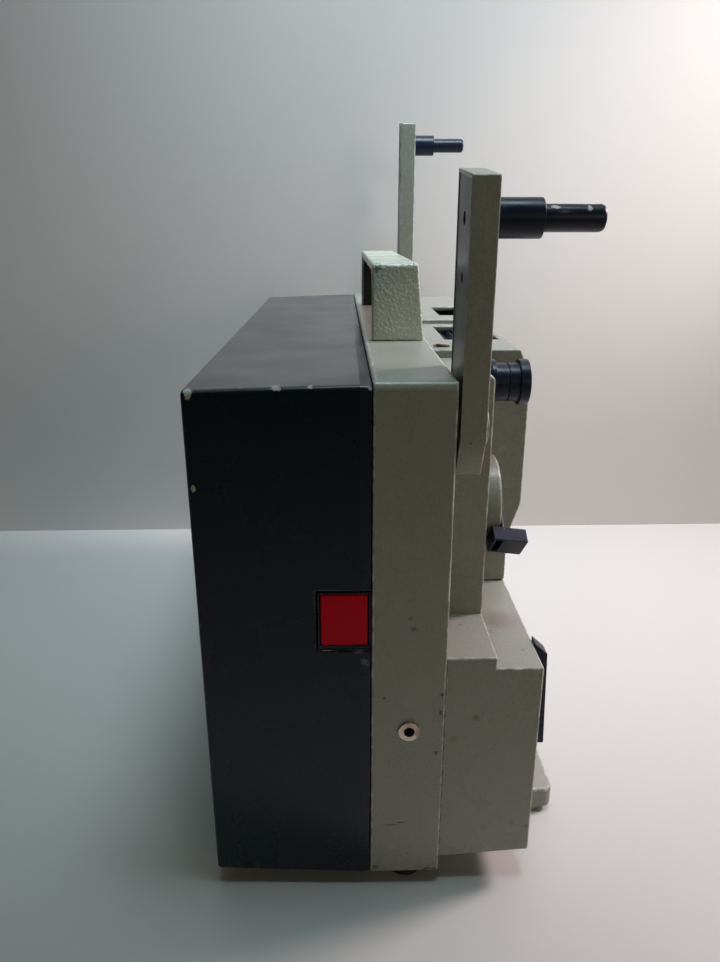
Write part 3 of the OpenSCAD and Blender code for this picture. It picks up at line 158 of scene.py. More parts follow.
def effect(name, inputs, outputs, build):
    """A shader node group with named inputs and outputs. build is given the tree, its inputs and its outputs."""
    tree = bpy.data.node_groups.new(name, "ShaderNodeTree")
    kinds = {float: "NodeSocketFloat", tuple: "NodeSocketColor", Vector: "NodeSocketVector"}
    for label, value in inputs.items():
        socket = tree.interface.new_socket(label, in_out="INPUT", socket_type=kinds[type(value)])
        socket.default_value = value
    for label, kind in outputs.items():
        tree.interface.new_socket(label, in_out="OUTPUT", socket_type=kinds[kind])
    given = tree.nodes.new("NodeGroupInput").outputs
    wanted = tree.nodes.new("NodeGroupOutput").inputs
    for label, made in build(tree, given).items():
        tree.links.new(made, wanted[label])
    return tree


def use(tree, group, inputs):
    """Place a shared effect in a material, with the material's own values."""
    made = tree.nodes.new("ShaderNodeGroup")
    made.node_tree = group
    for name, value in inputs.items():
        if isinstance(value, bpy.types.NodeSocket):
            tree.links.new(value, made.inputs[name])
        else:
            made.inputs[name].default_value = value
    return made.outputs[0]


# Shared effects

def build_tone_drift(tree, given):
    slow = noise(tree, given["Drift Scale"], 3.0)
    fine = noise(tree, given["Grain Scale"], 2.0)
    slow_part = calc(tree, "MULTIPLY", calc(tree, "SUBTRACT", slow, 0.5), given["Drift"])
    fine_part = calc(tree, "MULTIPLY", calc(tree, "SUBTRACT", fine, 0.5), given["Grain"])
    value = calc(tree, "ADD", calc(tree, "ADD", slow_part, fine_part), 1.0)
    toned = shade(tree, "ShaderNodeHueSaturation", {"Color": given["Colour"], "Value": value})
    return {"Colour": toned.outputs[0]}


# Mask of paler rounded edges, broken up by noise: rubbed wear, and on the enamel also a painted highlight along the
# edges.
def build_edge_rub_and_highlight(tree, given):
    rounded_edge = shade(tree, "ShaderNodeAttribute", attribute_name="edge").outputs["Fac"]
    low = calc(tree, "SUBTRACT", 0.75, calc(tree, "MULTIPLY", given["Amount"], 0.5))
    rub_and_highlight_breakup = span(tree, noise(tree, given["Scale"], 4.0), low, calc(tree, "ADD", low, 0.3))
    return {"Mask": calc(tree, "MULTIPLY", calc(tree, "MULTIPLY", rub_and_highlight_breakup, rounded_edge), given["Strength"])}


def build_specks(tree, given):
    cells = shade(tree, "ShaderNodeTexVoronoi", {"Vector": place(tree), "Scale": given["Scale"]})
    pick = shade(tree, "ShaderNodeSeparateColor", {"Color": cells.outputs["Color"]}).outputs[0]
    size = calc(tree, "MULTIPLY", span(tree, pick, calc(tree, "SUBTRACT", 1.0, given["Share"]), 1.0), given["Size"])
    inner = calc(tree, "MULTIPLY", size, 0.5)
    dot = span(tree, cells.outputs["Distance"], calc(tree, "ADD", size, 0.001), inner)
    return {"Mask": dot}


def build_mark(tree, given):
    squeezed = combine(tree, "MULTIPLY", combine(tree, "SUBTRACT", place(tree), given["Centre"]), given["Squeeze"])
    length = shade(tree, "ShaderNodeVectorMath", {0: squeezed}, operation="LENGTH").outputs["Value"]
    shift = calc(tree, "MULTIPLY", calc(tree, "SUBTRACT", given["Ragged"], 0.5), given["Radius"])
    reach = calc(tree, "ADD", length, calc(tree, "MULTIPLY", shift, 1.6))
    return {"Mask": span(tree, reach, given["Radius"], calc(tree, "MULTIPLY", given["Radius"], given["Core"]))}


def build_skin_relief(tree, given):
    fine = calc(tree, "MULTIPLY", noise(tree, given["Fine Scale"], 2.0), given["Fine"])
    coarse = calc(tree, "MULTIPLY", noise(tree, given["Coarse Scale"], 1.0), given["Coarse"])
    return {"Height": calc(tree, "ADD", fine, coarse)}


# Mask of upward faces in patches: dust, and on the enamel also a painted lightening of the lit top faces.
def build_dust_and_top_lightening(tree, given):
    normal = shade(tree, "ShaderNodeNewGeometry").outputs["Normal"]
    up = shade(tree, "ShaderNodeSeparateXYZ", {0: normal}).outputs["Z"]
    lying = span(tree, up, 0.5, 0.95)
    patchy = span(tree, noise(tree, given["Scale"], 2.0), 0.2, 0.8, 0.5, 1.0)
    return {"Mask": calc(tree, "MULTIPLY", calc(tree, "MULTIPLY", lying, patchy), given["Amount"])}


def build_scratches(tree, given):
    stretched = combine(tree, "MULTIPLY", place(tree), given["Stretch"])
    line = calc(tree, "ABSOLUTE", calc(tree, "SUBTRACT", noise(tree, 1.0, 3.0, stretched), 0.5))
    thin = span(tree, line, given["Width"], 0.0)
    patches = span(tree, noise(tree, given["Patch Scale"], 2.0), 0.5, 0.62)
    return {"Mask": calc(tree, "MULTIPLY", calc(tree, "MULTIPLY", thin, patches), given["Amount"])}


def build_low_grime(tree, given):
    height = shade(tree, "ShaderNodeSeparateXYZ", {0: place(tree)}).outputs["Z"]
    low = span(tree, height, given["Height"], 0.0)
    patchy = span(tree, noise(tree, 260.0, 5.0), 0.42, 0.7)
    return {"Mask": calc(tree, "MULTIPLY", calc(tree, "MULTIPLY", low, patchy), given["Amount"])}


def build_brushing(tree, given):
    stretched = combine(tree, "MULTIPLY", place(tree), given["Stretch"])
    return {"Grain": noise(tree, 1.0, 4.0, stretched)}


WHITE = (1.0, 1.0, 1.0, 1.0)
tone_drift = effect(
    "tone_drift",
    {"Colour": WHITE, "Drift": 0.1, "Drift Scale": 14.0, "Grain": 0.1, "Grain Scale": 900.0},
    {"Colour": tuple}, build_tone_drift)
edge_rub_and_highlight = effect("edge_rub_and_highlight", {"Amount": 0.5, "Scale": 400.0, "Strength": 1.0}, {"Mask": float}, build_edge_rub_and_highlight)
specks = effect("specks", {"Scale": 200.0, "Share": 0.2, "Size": 0.2}, {"Mask": float}, build_specks)
mark = effect(
    "mark",
    {"Centre": Vector((0, 0, 0)), "Squeeze": Vector((1, 1, 1)), "Radius": 0.002, "Core": 0.7, "Ragged": 0.5},
    {"Mask": float}, build_mark)
skin_relief = effect(
    "skin_relief",
    {"Fine": 0.5, "Fine Scale": 1500.0, "Coarse": 0.5, "Coarse Scale": 500.0},
    {"Height": float}, build_skin_relief)
dust_and_top_lightening = effect("dust_and_top_lightening", {"Amount": 0.3, "Scale": 60.0}, {"Mask": float}, build_dust_and_top_lightening)
scratches = effect(
    "scratches",
    {"Stretch": Vector((40, 900, 40)), "Width": 0.01, "Patch Scale": 30.0, "Amount": 0.5},
    {"Mask": float}, build_scratches)
low_grime = effect("low_grime", {"Height": 0.02, "Amount": 0.5}, {"Mask": float}, build_low_grime)
brushing = effect("brushing", {"Stretch": Vector((3000, 60, 3000))}, {"Grain": float}, build_brushing)


# Finishes

def new_finish(name):
    """An empty material with one Principled shader."""
    material = bpy.data.materials.new(name)
    material.use_nodes = True
    tree = material.node_tree
    tree.nodes.clear()
    skin = shade(tree, "ShaderNodeBsdfPrincipled")
    shade(tree, "ShaderNodeOutputMaterial", {"Surface": skin.outputs[0]})
    return material, tree, skin


def set_relief(tree, skin, height, depth):
    """Drive the shader's normal from a height of 0 to 1, this many metres deep."""
    bump = shade(tree, "ShaderNodeBump", {"Height": height, "Strength": 1.0, "Distance": depth})
    tree.links.new(bump.outputs[0], skin.inputs["Normal"])


def set_gloss(tree, skin, low, high, scale, *rougher):
    """Drive the roughness from slow noise between two values, and raise it under the given masks."""
    value = span(tree, noise(tree, scale, 8.0), 0.25, 0.75, low, high)
    for mask, amount in rougher:
        value = calc(tree, "ADD", value, calc(tree, "MULTIPLY", mask, amount), clamp=True)
    tree.links.new(value, skin.inputs["Roughness"])


def add_marks(tree, colour, marks):
    """Stains and chips.

    Each is a place, a radius in millimetres, a colour, a squeeze, and how solid its middle is.
    """
    if not marks:
        return colour
    ragged = noise(tree, 900.0, 4.0)
    for centre, radius, over, squeeze, core in marks:
        mask = use(tree, mark, {
            "Centre": centre, "Radius": radius * MM, "Squeeze": squeeze, "Core": core, "Ragged": ragged})
        colour = cover_with(tree, mask, colour, over)
    return colour


NEAR = (1, 0.3, 1)
LYING = (1, 1, 0.3)
STAIN_BROWN = tint(118, 107, 86)
SCUFF = tint(118, 118, 106)
CHIP_DARK = tint(74, 72, 65)
PRIMER = tint(168, 178, 164)
GREY_SMUDGE = tint(92, 96, 94)
BARE_WHITE = tint(200, 200, 196)
# Pale tint for upward enamel faces: dust, and also painted light that makes the lit tops lighter.
BODY_DUST_AND_TOP_LIGHTENING = tint(200, 188, 190)
PLASTIC_DUST = tint(150, 148, 144)

REAR_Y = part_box("main_frame")[0].y
PLINTH_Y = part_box("film_housing")[0].y
ARM_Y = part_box("rear_arm")[0].y
FRAME_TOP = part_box("main_frame")[1].z

BODY_MARKS = [
    ((0.02625, PLINTH_Y, 0.0719), 1.9, STAIN_BROWN, NEAR, 0.2),
    ((0.01865, PLINTH_Y, 0.0634), 2.1, tint(128, 122, 106), NEAR, 0.1),
    ((0.04185, PLINTH_Y, 0.0257), 1.2, SCUFF, NEAR, 0.1),
    ((0.04715, PLINTH_Y, 0.0241), 1.0, SCUFF, NEAR, 0.1),
    ((0.03115, PLINTH_Y, 0.0236), 1.2, SCUFF, NEAR, 0.1),
    ((0.04745, PLINTH_Y, 0.0892), 1.0, SCUFF, NEAR, 0.1),
    ((0.00365, REAR_Y, 0.1086), 1.4, tint(104, 103, 92), NEAR, 0.2),
    ((0.00225, REAR_Y, 0.1124), 1.2, SCUFF, NEAR, 0.1),
    ((-0.00305, REAR_Y, 0.0274), 1.3, CHIP_DARK, (0.27, 0.3, 2.2), 0.2),
    ((0.00065, REAR_Y, 0.0285), 0.9, CHIP_DARK, (0.4, 0.3, 1.8), 0.2),
    ((-0.00875, REAR_Y, 0.0078), 1.4, CHIP_DARK, (0.6, 0.3, 1), 0.2),
    ((0.01035, REAR_Y, 0.0063), 1.2, CHIP_DARK, (0.6, 0.3, 1), 0.2),
    ((0.01335, REAR_Y, 0.0062), 1.0, CHIP_DARK, (0.6, 0.3, 1), 0.2),
    ((0.01235, REAR_Y, 0.0589), 0.7, CHIP_DARK, (1, 0.3, 0.6), 0.4),
    ((0.01345, REAR_Y, 0.0756), 0.7, CHIP_DARK, (1, 0.3, 0.6), 0.4),
    ((0.01385, REAR_Y, 0.0829), 0.6, CHIP_DARK, (1, 0.3, 0.6), 0.4),
    ((0.00345, REAR_Y, 0.0141), 0.7, CHIP_DARK, NEAR, 0.3),
    ((0.00385, REAR_Y, 0.0733), 0.8, SCUFF, (0.6, 0.3, 1), 0.2),
    ((-0.00595, REAR_Y, 0.0820), 0.7, CHIP_DARK, NEAR, 0.3),
    ((0.01735, ARM_Y, 0.1677), 0.6, CHIP_DARK, NEAR, 0.4),
    ((0.01965, ARM_Y, 0.1712), 0.7, CHIP_DARK, NEAR, 0.4),
    ((0.02415, ARM_Y, 0.1734), 0.6, CHIP_DARK, NEAR, 0.4),
    ((0.02315, -0.12695, 0.0960), 0.7, CHIP_DARK, LYING, 0.4),
    ((0.02535, -0.12915, 0.0960), 0.6, CHIP_DARK, LYING, 0.4),
    ((0.03495, -0.12415, 0.0917), 0.6, CHIP_DARK, LYING, 0.4),
    ((0.04415, -0.13745, 0.0917), 0.6, CHIP_DARK, LYING, 0.4),
    ((0.01455, -0.12405, FRAME_TOP), 0.7, CHIP_DARK, LYING, 0.4),
    ((0.01175, -0.13785, FRAME_TOP), 0.6, CHIP_DARK, LYING, 0.4),
]
COVER_MARKS = [
    ((-0.04955, REAR_Y, 0.1890), 1.1, PRIMER, (0.8, 0.3, 1.3), 0.75),
    ((-0.03915, REAR_Y, 0.1889), 1.4, PRIMER, (0.7, 0.3, 1.5), 0.75),
    ((-0.02885, REAR_Y, 0.1892), 0.9, PRIMER, (0.8, 0.3, 1.2), 0.75),
    ((-0.01105, REAR_Y, 0.1888), 0.6, PRIMER, NEAR, 0.6),
    ((-0.06505, REAR_Y + 1.2 * MM, 0.1876), 1.4, PRIMER, (1, 0.3, 0.6), 0.7),
    ((-0.06545, REAR_Y + 1.2 * MM, 0.1578), 0.8, PRIMER, (1, 0.3, 0.6), 0.7),
    ((-0.01475, REAR_Y, 0.1000), 1.2, GREY_SMUDGE, (0.5, 0.3, 1.5), 0.2),
    ((-0.01275, REAR_Y, 0.0963), 1.5, GREY_SMUDGE, (0.8, 0.3, 1.1), 0.2),
    ((-0.01145, REAR_Y, 0.0951), 0.9, GREY_SMUDGE, NEAR, 0.2),
    ((-0.05900, -0.14000, 0.1896), 1.0, PRIMER, (1, 0.6, 1), 0.6),
]
SPINDLE_MARKS = [
    ((0.04265, -0.14025, 0.2392), 1.0, BARE_WHITE, (0.6, 0.3, 1.6), 0.7),
    ((0.05245, -0.14025, 0.2390), 0.9, BARE_WHITE, (1.1, 0.3, 0.8), 0.7),
    ((0.05035, -0.14025, 0.2395), 0.7, tint(8, 9, 12), NEAR, 0.5),
    ((0.04475, -0.14025, 0.2379), 1.1, tint(96, 98, 100), (0.4, 0.3, 2.6), 0.2),
]


def make_enamel(name, colour, gloss, relief, depth, edge_rub_and_highlight_amount, edge_rub_and_highlight_colour, dark_specks, top_dust_and_lightening, marks=(), coat=0.0,
                shine=STANDARD_SHINE):
    """Baked enamel: drifting tone, fine orange peel, paler rounded edges that are partly rubbed wear and partly a
    painted highlight, specks, grime low down and single marks.
    """
    material, tree, skin = new_finish(name)
    toned = use(tree, tone_drift, {"Colour": colour, "Drift": 0.06, "Grain": 0.45, "Grain Scale": 1100.0})
    grime_mask = use(tree, low_grime, {"Height": 0.016, "Amount": 0.35})
    toned = cover_with(tree, grime_mask, toned, CHIP_DARK)
    speck_mask = use(tree, specks, {"Scale": 160.0, "Share": dark_specks, "Size": 0.1})
    toned = cover_with(tree, speck_mask, toned, CHIP_DARK)
    toned = add_marks(tree, toned, marks)
    # Paler rounded edges: partly rubbed wear, partly a painted highlight.
    edge_rub_and_highlight_mask = use(tree, edge_rub_and_highlight, {"Amount": edge_rub_and_highlight_amount, "Scale": 300.0, "Strength": 0.75})
    toned = cover_with(tree, edge_rub_and_highlight_mask, toned, edge_rub_and_highlight_colour)
    # Pale tint on upward faces: partly dust, partly painted light on the lit tops.
    dust_and_top_lightening_mask = use(tree, dust_and_top_lightening, {"Amount": top_dust_and_lightening})
    toned = cover_with(tree, dust_and_top_lightening_mask, toned, BODY_DUST_AND_TOP_LIGHTENING)
    tree.links.new(toned, skin.inputs["Base Color"])
    set_gloss(tree, skin, gloss[0], gloss[1], 35.0, (edge_rub_and_highlight_mask, 0.1), (dust_and_top_lightening_mask, 0.4), (grime_mask, 0.3))
    set_relief(tree, skin, use(tree, skin_relief, relief), depth)
    skin.inputs["Specular IOR Level"].default_value = shine
    skin.inputs["Coat Weight"].default_value = coat
    skin.inputs["Coat Roughness"].default_value = 0.12
    return material


def make_hammered():
    """Hammered enamel of the handle: small scales between shallow valleys, the scale tops painted lighter as a
    painted highlight, with tiny painted glints.
    """
    material, tree, skin = new_finish("hammered_enamel")
    swirl = shade(tree, "ShaderNodeTexNoise", {"Vector": place(tree), "Scale": 500.0, "Detail": 2.0})
    reach = 0.9 * MM
    bent = combine(
        tree, "ADD", place(tree), combine(tree, "MULTIPLY", swirl.outputs["Color"], (reach, reach, reach)))
    cells = shade(
        tree, "ShaderNodeTexVoronoi", {"Vector": bent, "Scale": 780.0, "Smoothness": 0.6},
        feature="SMOOTH_F1").outputs["Distance"]
    scale_top = span(tree, cells, 0.62, 0.12)
    toned = use(tree, tone_drift, {"Colour": tint(200, 209, 191), "Drift": 0.1, "Grain": 0.2})
    # Scale tops painted lighter than the valleys: a painted highlight on the relief.
    toned = cover_with(tree, calc(tree, "MULTIPLY", scale_top, 0.45), toned, tint(222, 228, 214))
    # Tiny pale flecks: painted glints.
    painted_glints = use(tree, specks, {"Scale": 1300.0, "Share": 0.3, "Size": 0.3})
    toned = cover_with(tree, calc(tree, "MULTIPLY", painted_glints, 0.15), toned, tint(226, 231, 220))
    chip_mask = use(tree, mark, {
        "Centre": HANDLE_CHIP, "Radius": 1.6 * MM, "Squeeze": (1, 0.6, 0.8), "Core": 0.5,
        "Ragged": noise(tree, 900.0, 4.0)})
    toned = cover_with(tree, chip_mask, toned, tint(92, 112, 128))
    # Paler handle edges: partly rubbed wear, partly a painted highlight.
    edge_rub_and_highlight_mask = use(tree, edge_rub_and_highlight, {"Amount": 0.5, "Scale": 420.0, "Strength": 0.6})
    toned = cover_with(tree, edge_rub_and_highlight_mask, toned, tint(196, 200, 190))
    tree.links.new(toned, skin.inputs["Base Color"])
    set_gloss(tree, skin, 0.22, 0.32, 60.0)
    set_relief(tree, skin, scale_top, 0.2 * MM)
    return material


def make_plastic(name, colour, gloss, edge_rub_and_highlight_amount, edge_rub_and_highlight_colour, depth, scratch, marks=(), shine=STANDARD_SHINE):
    """Moulded plastic: fine spark texture, rubbed edges and light scratches."""
    material, tree, skin = new_finish(name)
    toned = use(tree, tone_drift, {"Colour": colour, "Drift": 0.15, "Grain": 0.2, "Grain Scale": 1800.0})
    line_mask = use(tree, scratches, {"Stretch": Vector((90, 700, 900)), "Width": 0.012, "Amount": scratch})
    toned = cover_with(tree, line_mask, toned, edge_rub_and_highlight_colour)
    toned = add_marks(tree, toned, marks)
    edge_rub_and_highlight_mask = use(tree, edge_rub_and_highlight, {"Amount": edge_rub_and_highlight_amount, "Scale": 450.0, "Strength": 0.7})
    toned = cover_with(tree, edge_rub_and_highlight_mask, toned, edge_rub_and_highlight_colour)
    dust_and_top_lightening_mask = use(tree, dust_and_top_lightening, {"Amount": 0.06, "Scale": 90.0})
    toned = cover_with(tree, dust_and_top_lightening_mask, toned, PLASTIC_DUST)
    tree.links.new(toned, skin.inputs["Base Color"])
    skin.inputs["Specular IOR Level"].default_value = shine
    set_gloss(tree, skin, gloss[0], gloss[1], 80.0, (dust_and_top_lightening_mask, 0.5))
    relief = {"Fine": 0.7, "Fine Scale": 2600.0, "Coarse": 0.3, "Coarse Scale": 900.0}
    set_relief(tree, skin, use(tree, skin_relief, relief), depth)
    return material


def make_metal(name, colour, gloss, stretch, tarnish, tarnish_colour):
    """Bare or plated metal: drawn grain and patches of tarnish."""
    material, tree, skin = new_finish(name)
    toned = use(tree, tone_drift, {"Colour": colour, "Drift": 0.14, "Grain": 0.08, "Grain Scale": 700.0})
    grain = use(tree, brushing, {"Stretch": stretch})
    dull = span(tree, noise(tree, 140.0, 6.0), 0.75 - tarnish, 0.95 - tarnish)
    toned = cover_with(tree, calc(tree, "MULTIPLY", dull, 0.6), toned, tarnish_colour)
    tree.links.new(toned, skin.inputs["Base Color"])
    skin.inputs["Metallic"].default_value = 1.0
    set_gloss(tree, skin, gloss[0], gloss[1], 120.0, (dull, 0.2))
    set_relief(tree, skin, grain, 0.012 * MM)
    return material


def make_rubber(name, colour, bloom_colour):
    """Soft rubber: matt, with a fine grain and a paler bloom."""
    material, tree, skin = new_finish(name)
    toned = use(tree, tone_drift, {"Colour": colour, "Drift": 0.3, "Grain": 0.3, "Grain Scale": 1500.0})
    bloom = use(tree, dust_and_top_lightening, {"Amount": 0.25, "Scale": 120.0})
    toned = cover_with(tree, bloom, toned, bloom_colour)
    tree.links.new(toned, skin.inputs["Base Color"])
    set_gloss(tree, skin, 0.6, 0.8, 90.0)
    relief = {"Fine": 0.6, "Fine Scale": 2200.0, "Coarse": 0.4, "Coarse Scale": 700.0}
    set_relief(tree, skin, use(tree, skin_relief, relief), 0.05 * MM)
    return material


def make_winding():
    """Varnished copper winding: fine turns across its height."""
    material, tree, skin = new_finish("winding")
    turns = shade(
        tree, "ShaderNodeTexWave", {"Vector": place(tree), "Scale": 260.0, "Distortion": 0.6},
        bands_direction="Z").outputs["Fac"]
    toned = use(tree, tone_drift, {"Colour": tint(170, 104, 58), "Drift": 0.3, "Grain": 0.15})
    toned = cover_with(tree, calc(tree, "MULTIPLY", turns, 0.5), toned, tint(96, 50, 26))
    tree.links.new(toned, skin.inputs["Base Color"])
    skin.inputs["Metallic"].default_value = 0.6
    set_gloss(tree, skin, 0.3, 0.45, 90.0)
    set_relief(tree, skin, turns, 0.15 * MM)
    return material


def make_glass():
    """Coated optical glass with a little dust."""
    material, tree, skin = new_finish("glass")
    toned = use(tree, tone_drift, {"Colour": tint(232, 240, 244), "Drift": 0.05, "Grain": 0.03})
    tree.links.new(toned, skin.inputs["Base Color"])
    skin.inputs["Transmission Weight"].default_value = 1.0
    skin.inputs["IOR"].default_value = 1.52
    skin.inputs["Coat Weight"].default_value = 0.4
    skin.inputs["Coat Tint"].default_value = tint(150, 120, 210)
    smear = use(tree, dust_and_top_lightening, {"Amount": 0.2, "Scale": 200.0})
    tree.links.new(calc(tree, "ADD", calc(tree, "MULTIPLY", smear, 0.4), 0.02), skin.inputs["Roughness"])
    return material


handle_low, handle_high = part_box("handle")
HANDLE_CHIP = (handle_low.x + 2 * MM, handle_low.y + 1.5 * MM, handle_high.z - 2 * MM)
PEEL = {"Fine": 0.35, "Fine Scale": 2200.0, "Coarse": 0.65, "Coarse Scale": 900.0}
COVER_PEEL = {"Fine": 0.3, "Fine Scale": 1500.0, "Coarse": 0.7, "Coarse Scale": 380.0}
finishes = {
    # Its near-white edge colour paints the highlight along the rounded edges as well as their wear.
    "grey_enamel": make_enamel(
        "grey_enamel", tint(146, 149, 137), gloss=(0.24, 0.3), relief=PEEL, depth=0.08 * MM, edge_rub_and_highlight_amount=0.72,
        # The amount on upward faces is partly dust, partly painted light on the lit tops.
        edge_rub_and_highlight_colour=tint(212, 215, 207), dark_specks=0.04, top_dust_and_lightening=0.26, marks=BODY_MARKS),
    "hammered_enamel": make_hammered(),
    "dark_enamel": make_enamel(
        "dark_enamel", tint(17, 29, 39), gloss=(0.24, 0.32), relief=COVER_PEEL, depth=0.03 * MM, edge_rub_and_highlight_amount=0.4,
        edge_rub_and_highlight_colour=tint(92, 102, 112), dark_specks=0.01, top_dust_and_lightening=0.18, marks=COVER_MARKS, coat=0.25, shine=0.2),
    "plate_blue": make_enamel(
        "plate_blue", tint(84, 96, 110), gloss=(0.3, 0.42), relief=PEEL, depth=0.03 * MM, edge_rub_and_highlight_amount=0.3,
        edge_rub_and_highlight_colour=tint(128, 134, 138), dark_specks=0.02, top_dust_and_lightening=0.08),
    "motor_paint": make_enamel(
        "motor_paint", tint(96, 100, 104), gloss=(0.34, 0.48), relief=PEEL, depth=0.05 * MM, edge_rub_and_highlight_amount=0.4,
        edge_rub_and_highlight_colour=tint(150, 150, 148), dark_specks=0.06, top_dust_and_lightening=0.12),
    "black_plastic": make_plastic(
        "black_plastic", tint(27, 35, 53), gloss=(0.26, 0.36), edge_rub_and_highlight_amount=0.4, edge_rub_and_highlight_colour=tint(84, 88, 94),
        depth=0.02 * MM, scratch=0.25, marks=SPINDLE_MARKS, shine=0.3),
    "red_plastic": make_plastic(
        "red_plastic", tint(202, 8, 30), gloss=(0.3, 0.42), edge_rub_and_highlight_amount=0.2, edge_rub_and_highlight_colour=tint(206, 60, 66),
        depth=0.015 * MM, scratch=0.1, shine=0.12),
    "white_plastic": make_plastic(
        "white_plastic", tint(222, 216, 200), gloss=(0.4, 0.55), edge_rub_and_highlight_amount=0.2, edge_rub_and_highlight_colour=tint(238, 234, 224),
        depth=0.02 * MM, scratch=0.1),
    "rubber": make_rubber("rubber", tint(30, 31, 32), tint(92, 92, 90)),
    "pale_rubber": make_rubber("pale_rubber", tint(150, 154, 142), tint(178, 180, 172)),
    "steel": make_metal(
        "steel", tint(196, 198, 200), gloss=(0.24, 0.4), stretch=Vector((2400, 60, 2400)), tarnish=0.25,
        tarnish_colour=tint(120, 112, 100)),
    "nickel": make_metal(
        "nickel", tint(214, 200, 186), gloss=(0.16, 0.3), stretch=Vector((1200, 1200, 1200)), tarnish=0.3,
        tarnish_colour=tint(126, 104, 80)),
    "bronze": make_metal(
        "bronze", tint(204, 168, 104), gloss=(0.3, 0.5), stretch=Vector((900, 900, 900)), tarnish=0.35,
        tarnish_colour=tint(112, 84, 48)),
    "dark_brass": make_metal(
        "dark_brass", tint(132, 112, 80), gloss=(0.25, 0.4), stretch=Vector((900, 900, 900)), tarnish=0.4,
        tarnish_colour=tint(70, 58, 40)),
    "winding": make_winding(),
    "lens_metal": make_plastic(
        "lens_metal", tint(46, 47, 50), gloss=(0.3, 0.42), edge_rub_and_highlight_amount=0.5, edge_rub_and_highlight_colour=tint(150, 150, 150),
        depth=0.012 * MM, scratch=0.15),
    "glass": make_glass(),
}


# Pieces

def link_piece(name, shape, body, finish):
    """Turn a bmesh into a finished piece that rides on a body."""
    mesh = bpy.data.meshes.new(name)
    shape.to_mesh(mesh)
    shape.free()
    if "custom_normal" in mesh.attributes:
        mesh.attributes.remove(mesh.attributes["custom_normal"])
    mesh.materials.clear()
    mesh.materials.append(finishes[finish])
    piece = bpy.data.objects.new(name, mesh)
    bpy.context.scene.collection.objects.link(piece)
    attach(piece, body)
    return piece


def smooth_shape(shape, worn, fold):
    """Smooth shading, with creases left in inner corners, on edges that are not rounded, and along a fold."""
    for face in shape.faces:
        face.smooth = True
    for edge in shape.edges:
        faces = edge.link_faces
        bend = edge.calc_face_angle_signed(0)
        round_over = bend > 0 and all(f[worn] for f in faces)
        edge.smooth = len(faces) == 2 and (abs(bend) < CREASE or round_over)
        if fold is not None and all(abs(v.co.x - fold) < ON_PLANE for v in edge.verts):
            edge.smooth = False


def is_strip(face, radius):
    """Whether a face is a narrow strip of a rounded edge, and not a flat beside it."""
    return face.calc_area() < 0.95 * radius * max(edge.calc_length() for edge in face.edges)


def round_edges(node, finish, *steps, reshape=None, fold=None):
    """A copy of a CAD node with its sharp outer edges rounded, standing for that node.

    Each step is a radius in millimetres and, where it is for some edges only, a test of an edge's middle.
    """
    shape = bmesh.new()
    shape.from_mesh(nodes[node].data)
    bmesh.ops.remove_doubles(shape, verts=shape.verts[:], dist=MERGE)
    bmesh.ops.dissolve_limit(shape, angle_limit=FLAT, verts=shape.verts[:], edges=shape.edges[:])
    if reshape is not None:
        reshape(shape)
    worn = shape.faces.layers.float.new("edge")
    for step in steps:
        radius, chosen = step if isinstance(step, tuple) else (step, None)
        edges = []
        for edge in shape.edges:
            faces = edge.link_faces
            if len(faces) != 2 or any(f[worn] for f in faces) or edge.calc_face_angle_signed(0) < SHARP:
                continue
            if chosen is None or chosen((edge.verts[0].co + edge.verts[1].co) / 2):
                edges.append(edge)
        made = bmesh.ops.bevel(
            shape, geom=edges, offset=radius * MM, offset_type="OFFSET", segments=2, profile=0.5, affect="EDGES",
            clamp_overlap=False, loop_slide=False, material=-1)
        for face in made["faces"]:
            if is_strip(face, radius * MM):
                face[worn] = 1.0
    smooth_shape(shape, worn, fold)
    piece = link_piece(node + "_rounded", shape, nodes[node]["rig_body"], finish)
    weighted = piece.modifiers.new("even_shading", "WEIGHTED_NORMAL")
    weighted.keep_sharp = True
    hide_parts(node)
    return piece


cover_low, cover_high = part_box("back_cover")
LIP_WIDTH = 3.5 * MM
LIP_DROP = 0.35 * MM
COVER_ROUND = 2.1 * MM
ARM_RECESS = 1.5 * MM
lip_fold = cover_high.x - LIP_WIDTH


def slope_lip(shape):
    """Fold the cover's outer walls inward along the seam, so that they slope down to it."""
    bmesh.ops.bisect_plane(
        shape, geom=shape.verts[:] + shape.edges[:] + shape.faces[:], dist=MERGE,
        plane_co=(lip_fold, 0, 0), plane_no=(1, 0, 0))
    middle = (cover_low + cover_high) / 2
    half = (cover_high - cover_low) / 2
    for vert in shape.verts:
        if vert.co.x < cover_high.x - ON_PLANE:
            continue
        outside_y = abs(vert.co.y - middle.y) > half.y - COVER_ROUND
        if outside_y or vert.co.z > cover_high.z - COVER_ROUND:
            vert.co.y -= LIP_DROP * (vert.co.y - middle.y) / half.y
            vert.co.z -= LIP_DROP * max(0, vert.co.z - middle.z) / half.z


def at_seam(point):
    """Whether an edge is on the cover's open side."""
    return point.x > cover_high.x - ON_FACE


def at_tip(node):
    """A test for edges at the outer end of a spindle."""
    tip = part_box(node)[1].x
    return lambda point: point.x > tip - ON_FACE


def at_back(node):
    """A test for edges at an arm's inner face and the recess in it."""
    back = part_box(node)[0].x
    return lambda point: point.x < back + ARM_RECESS


def at_top(node):
    """A test for edges at the top of a node."""
    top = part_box(node)[1].z
    return lambda point: point.z > top - ON_FACE


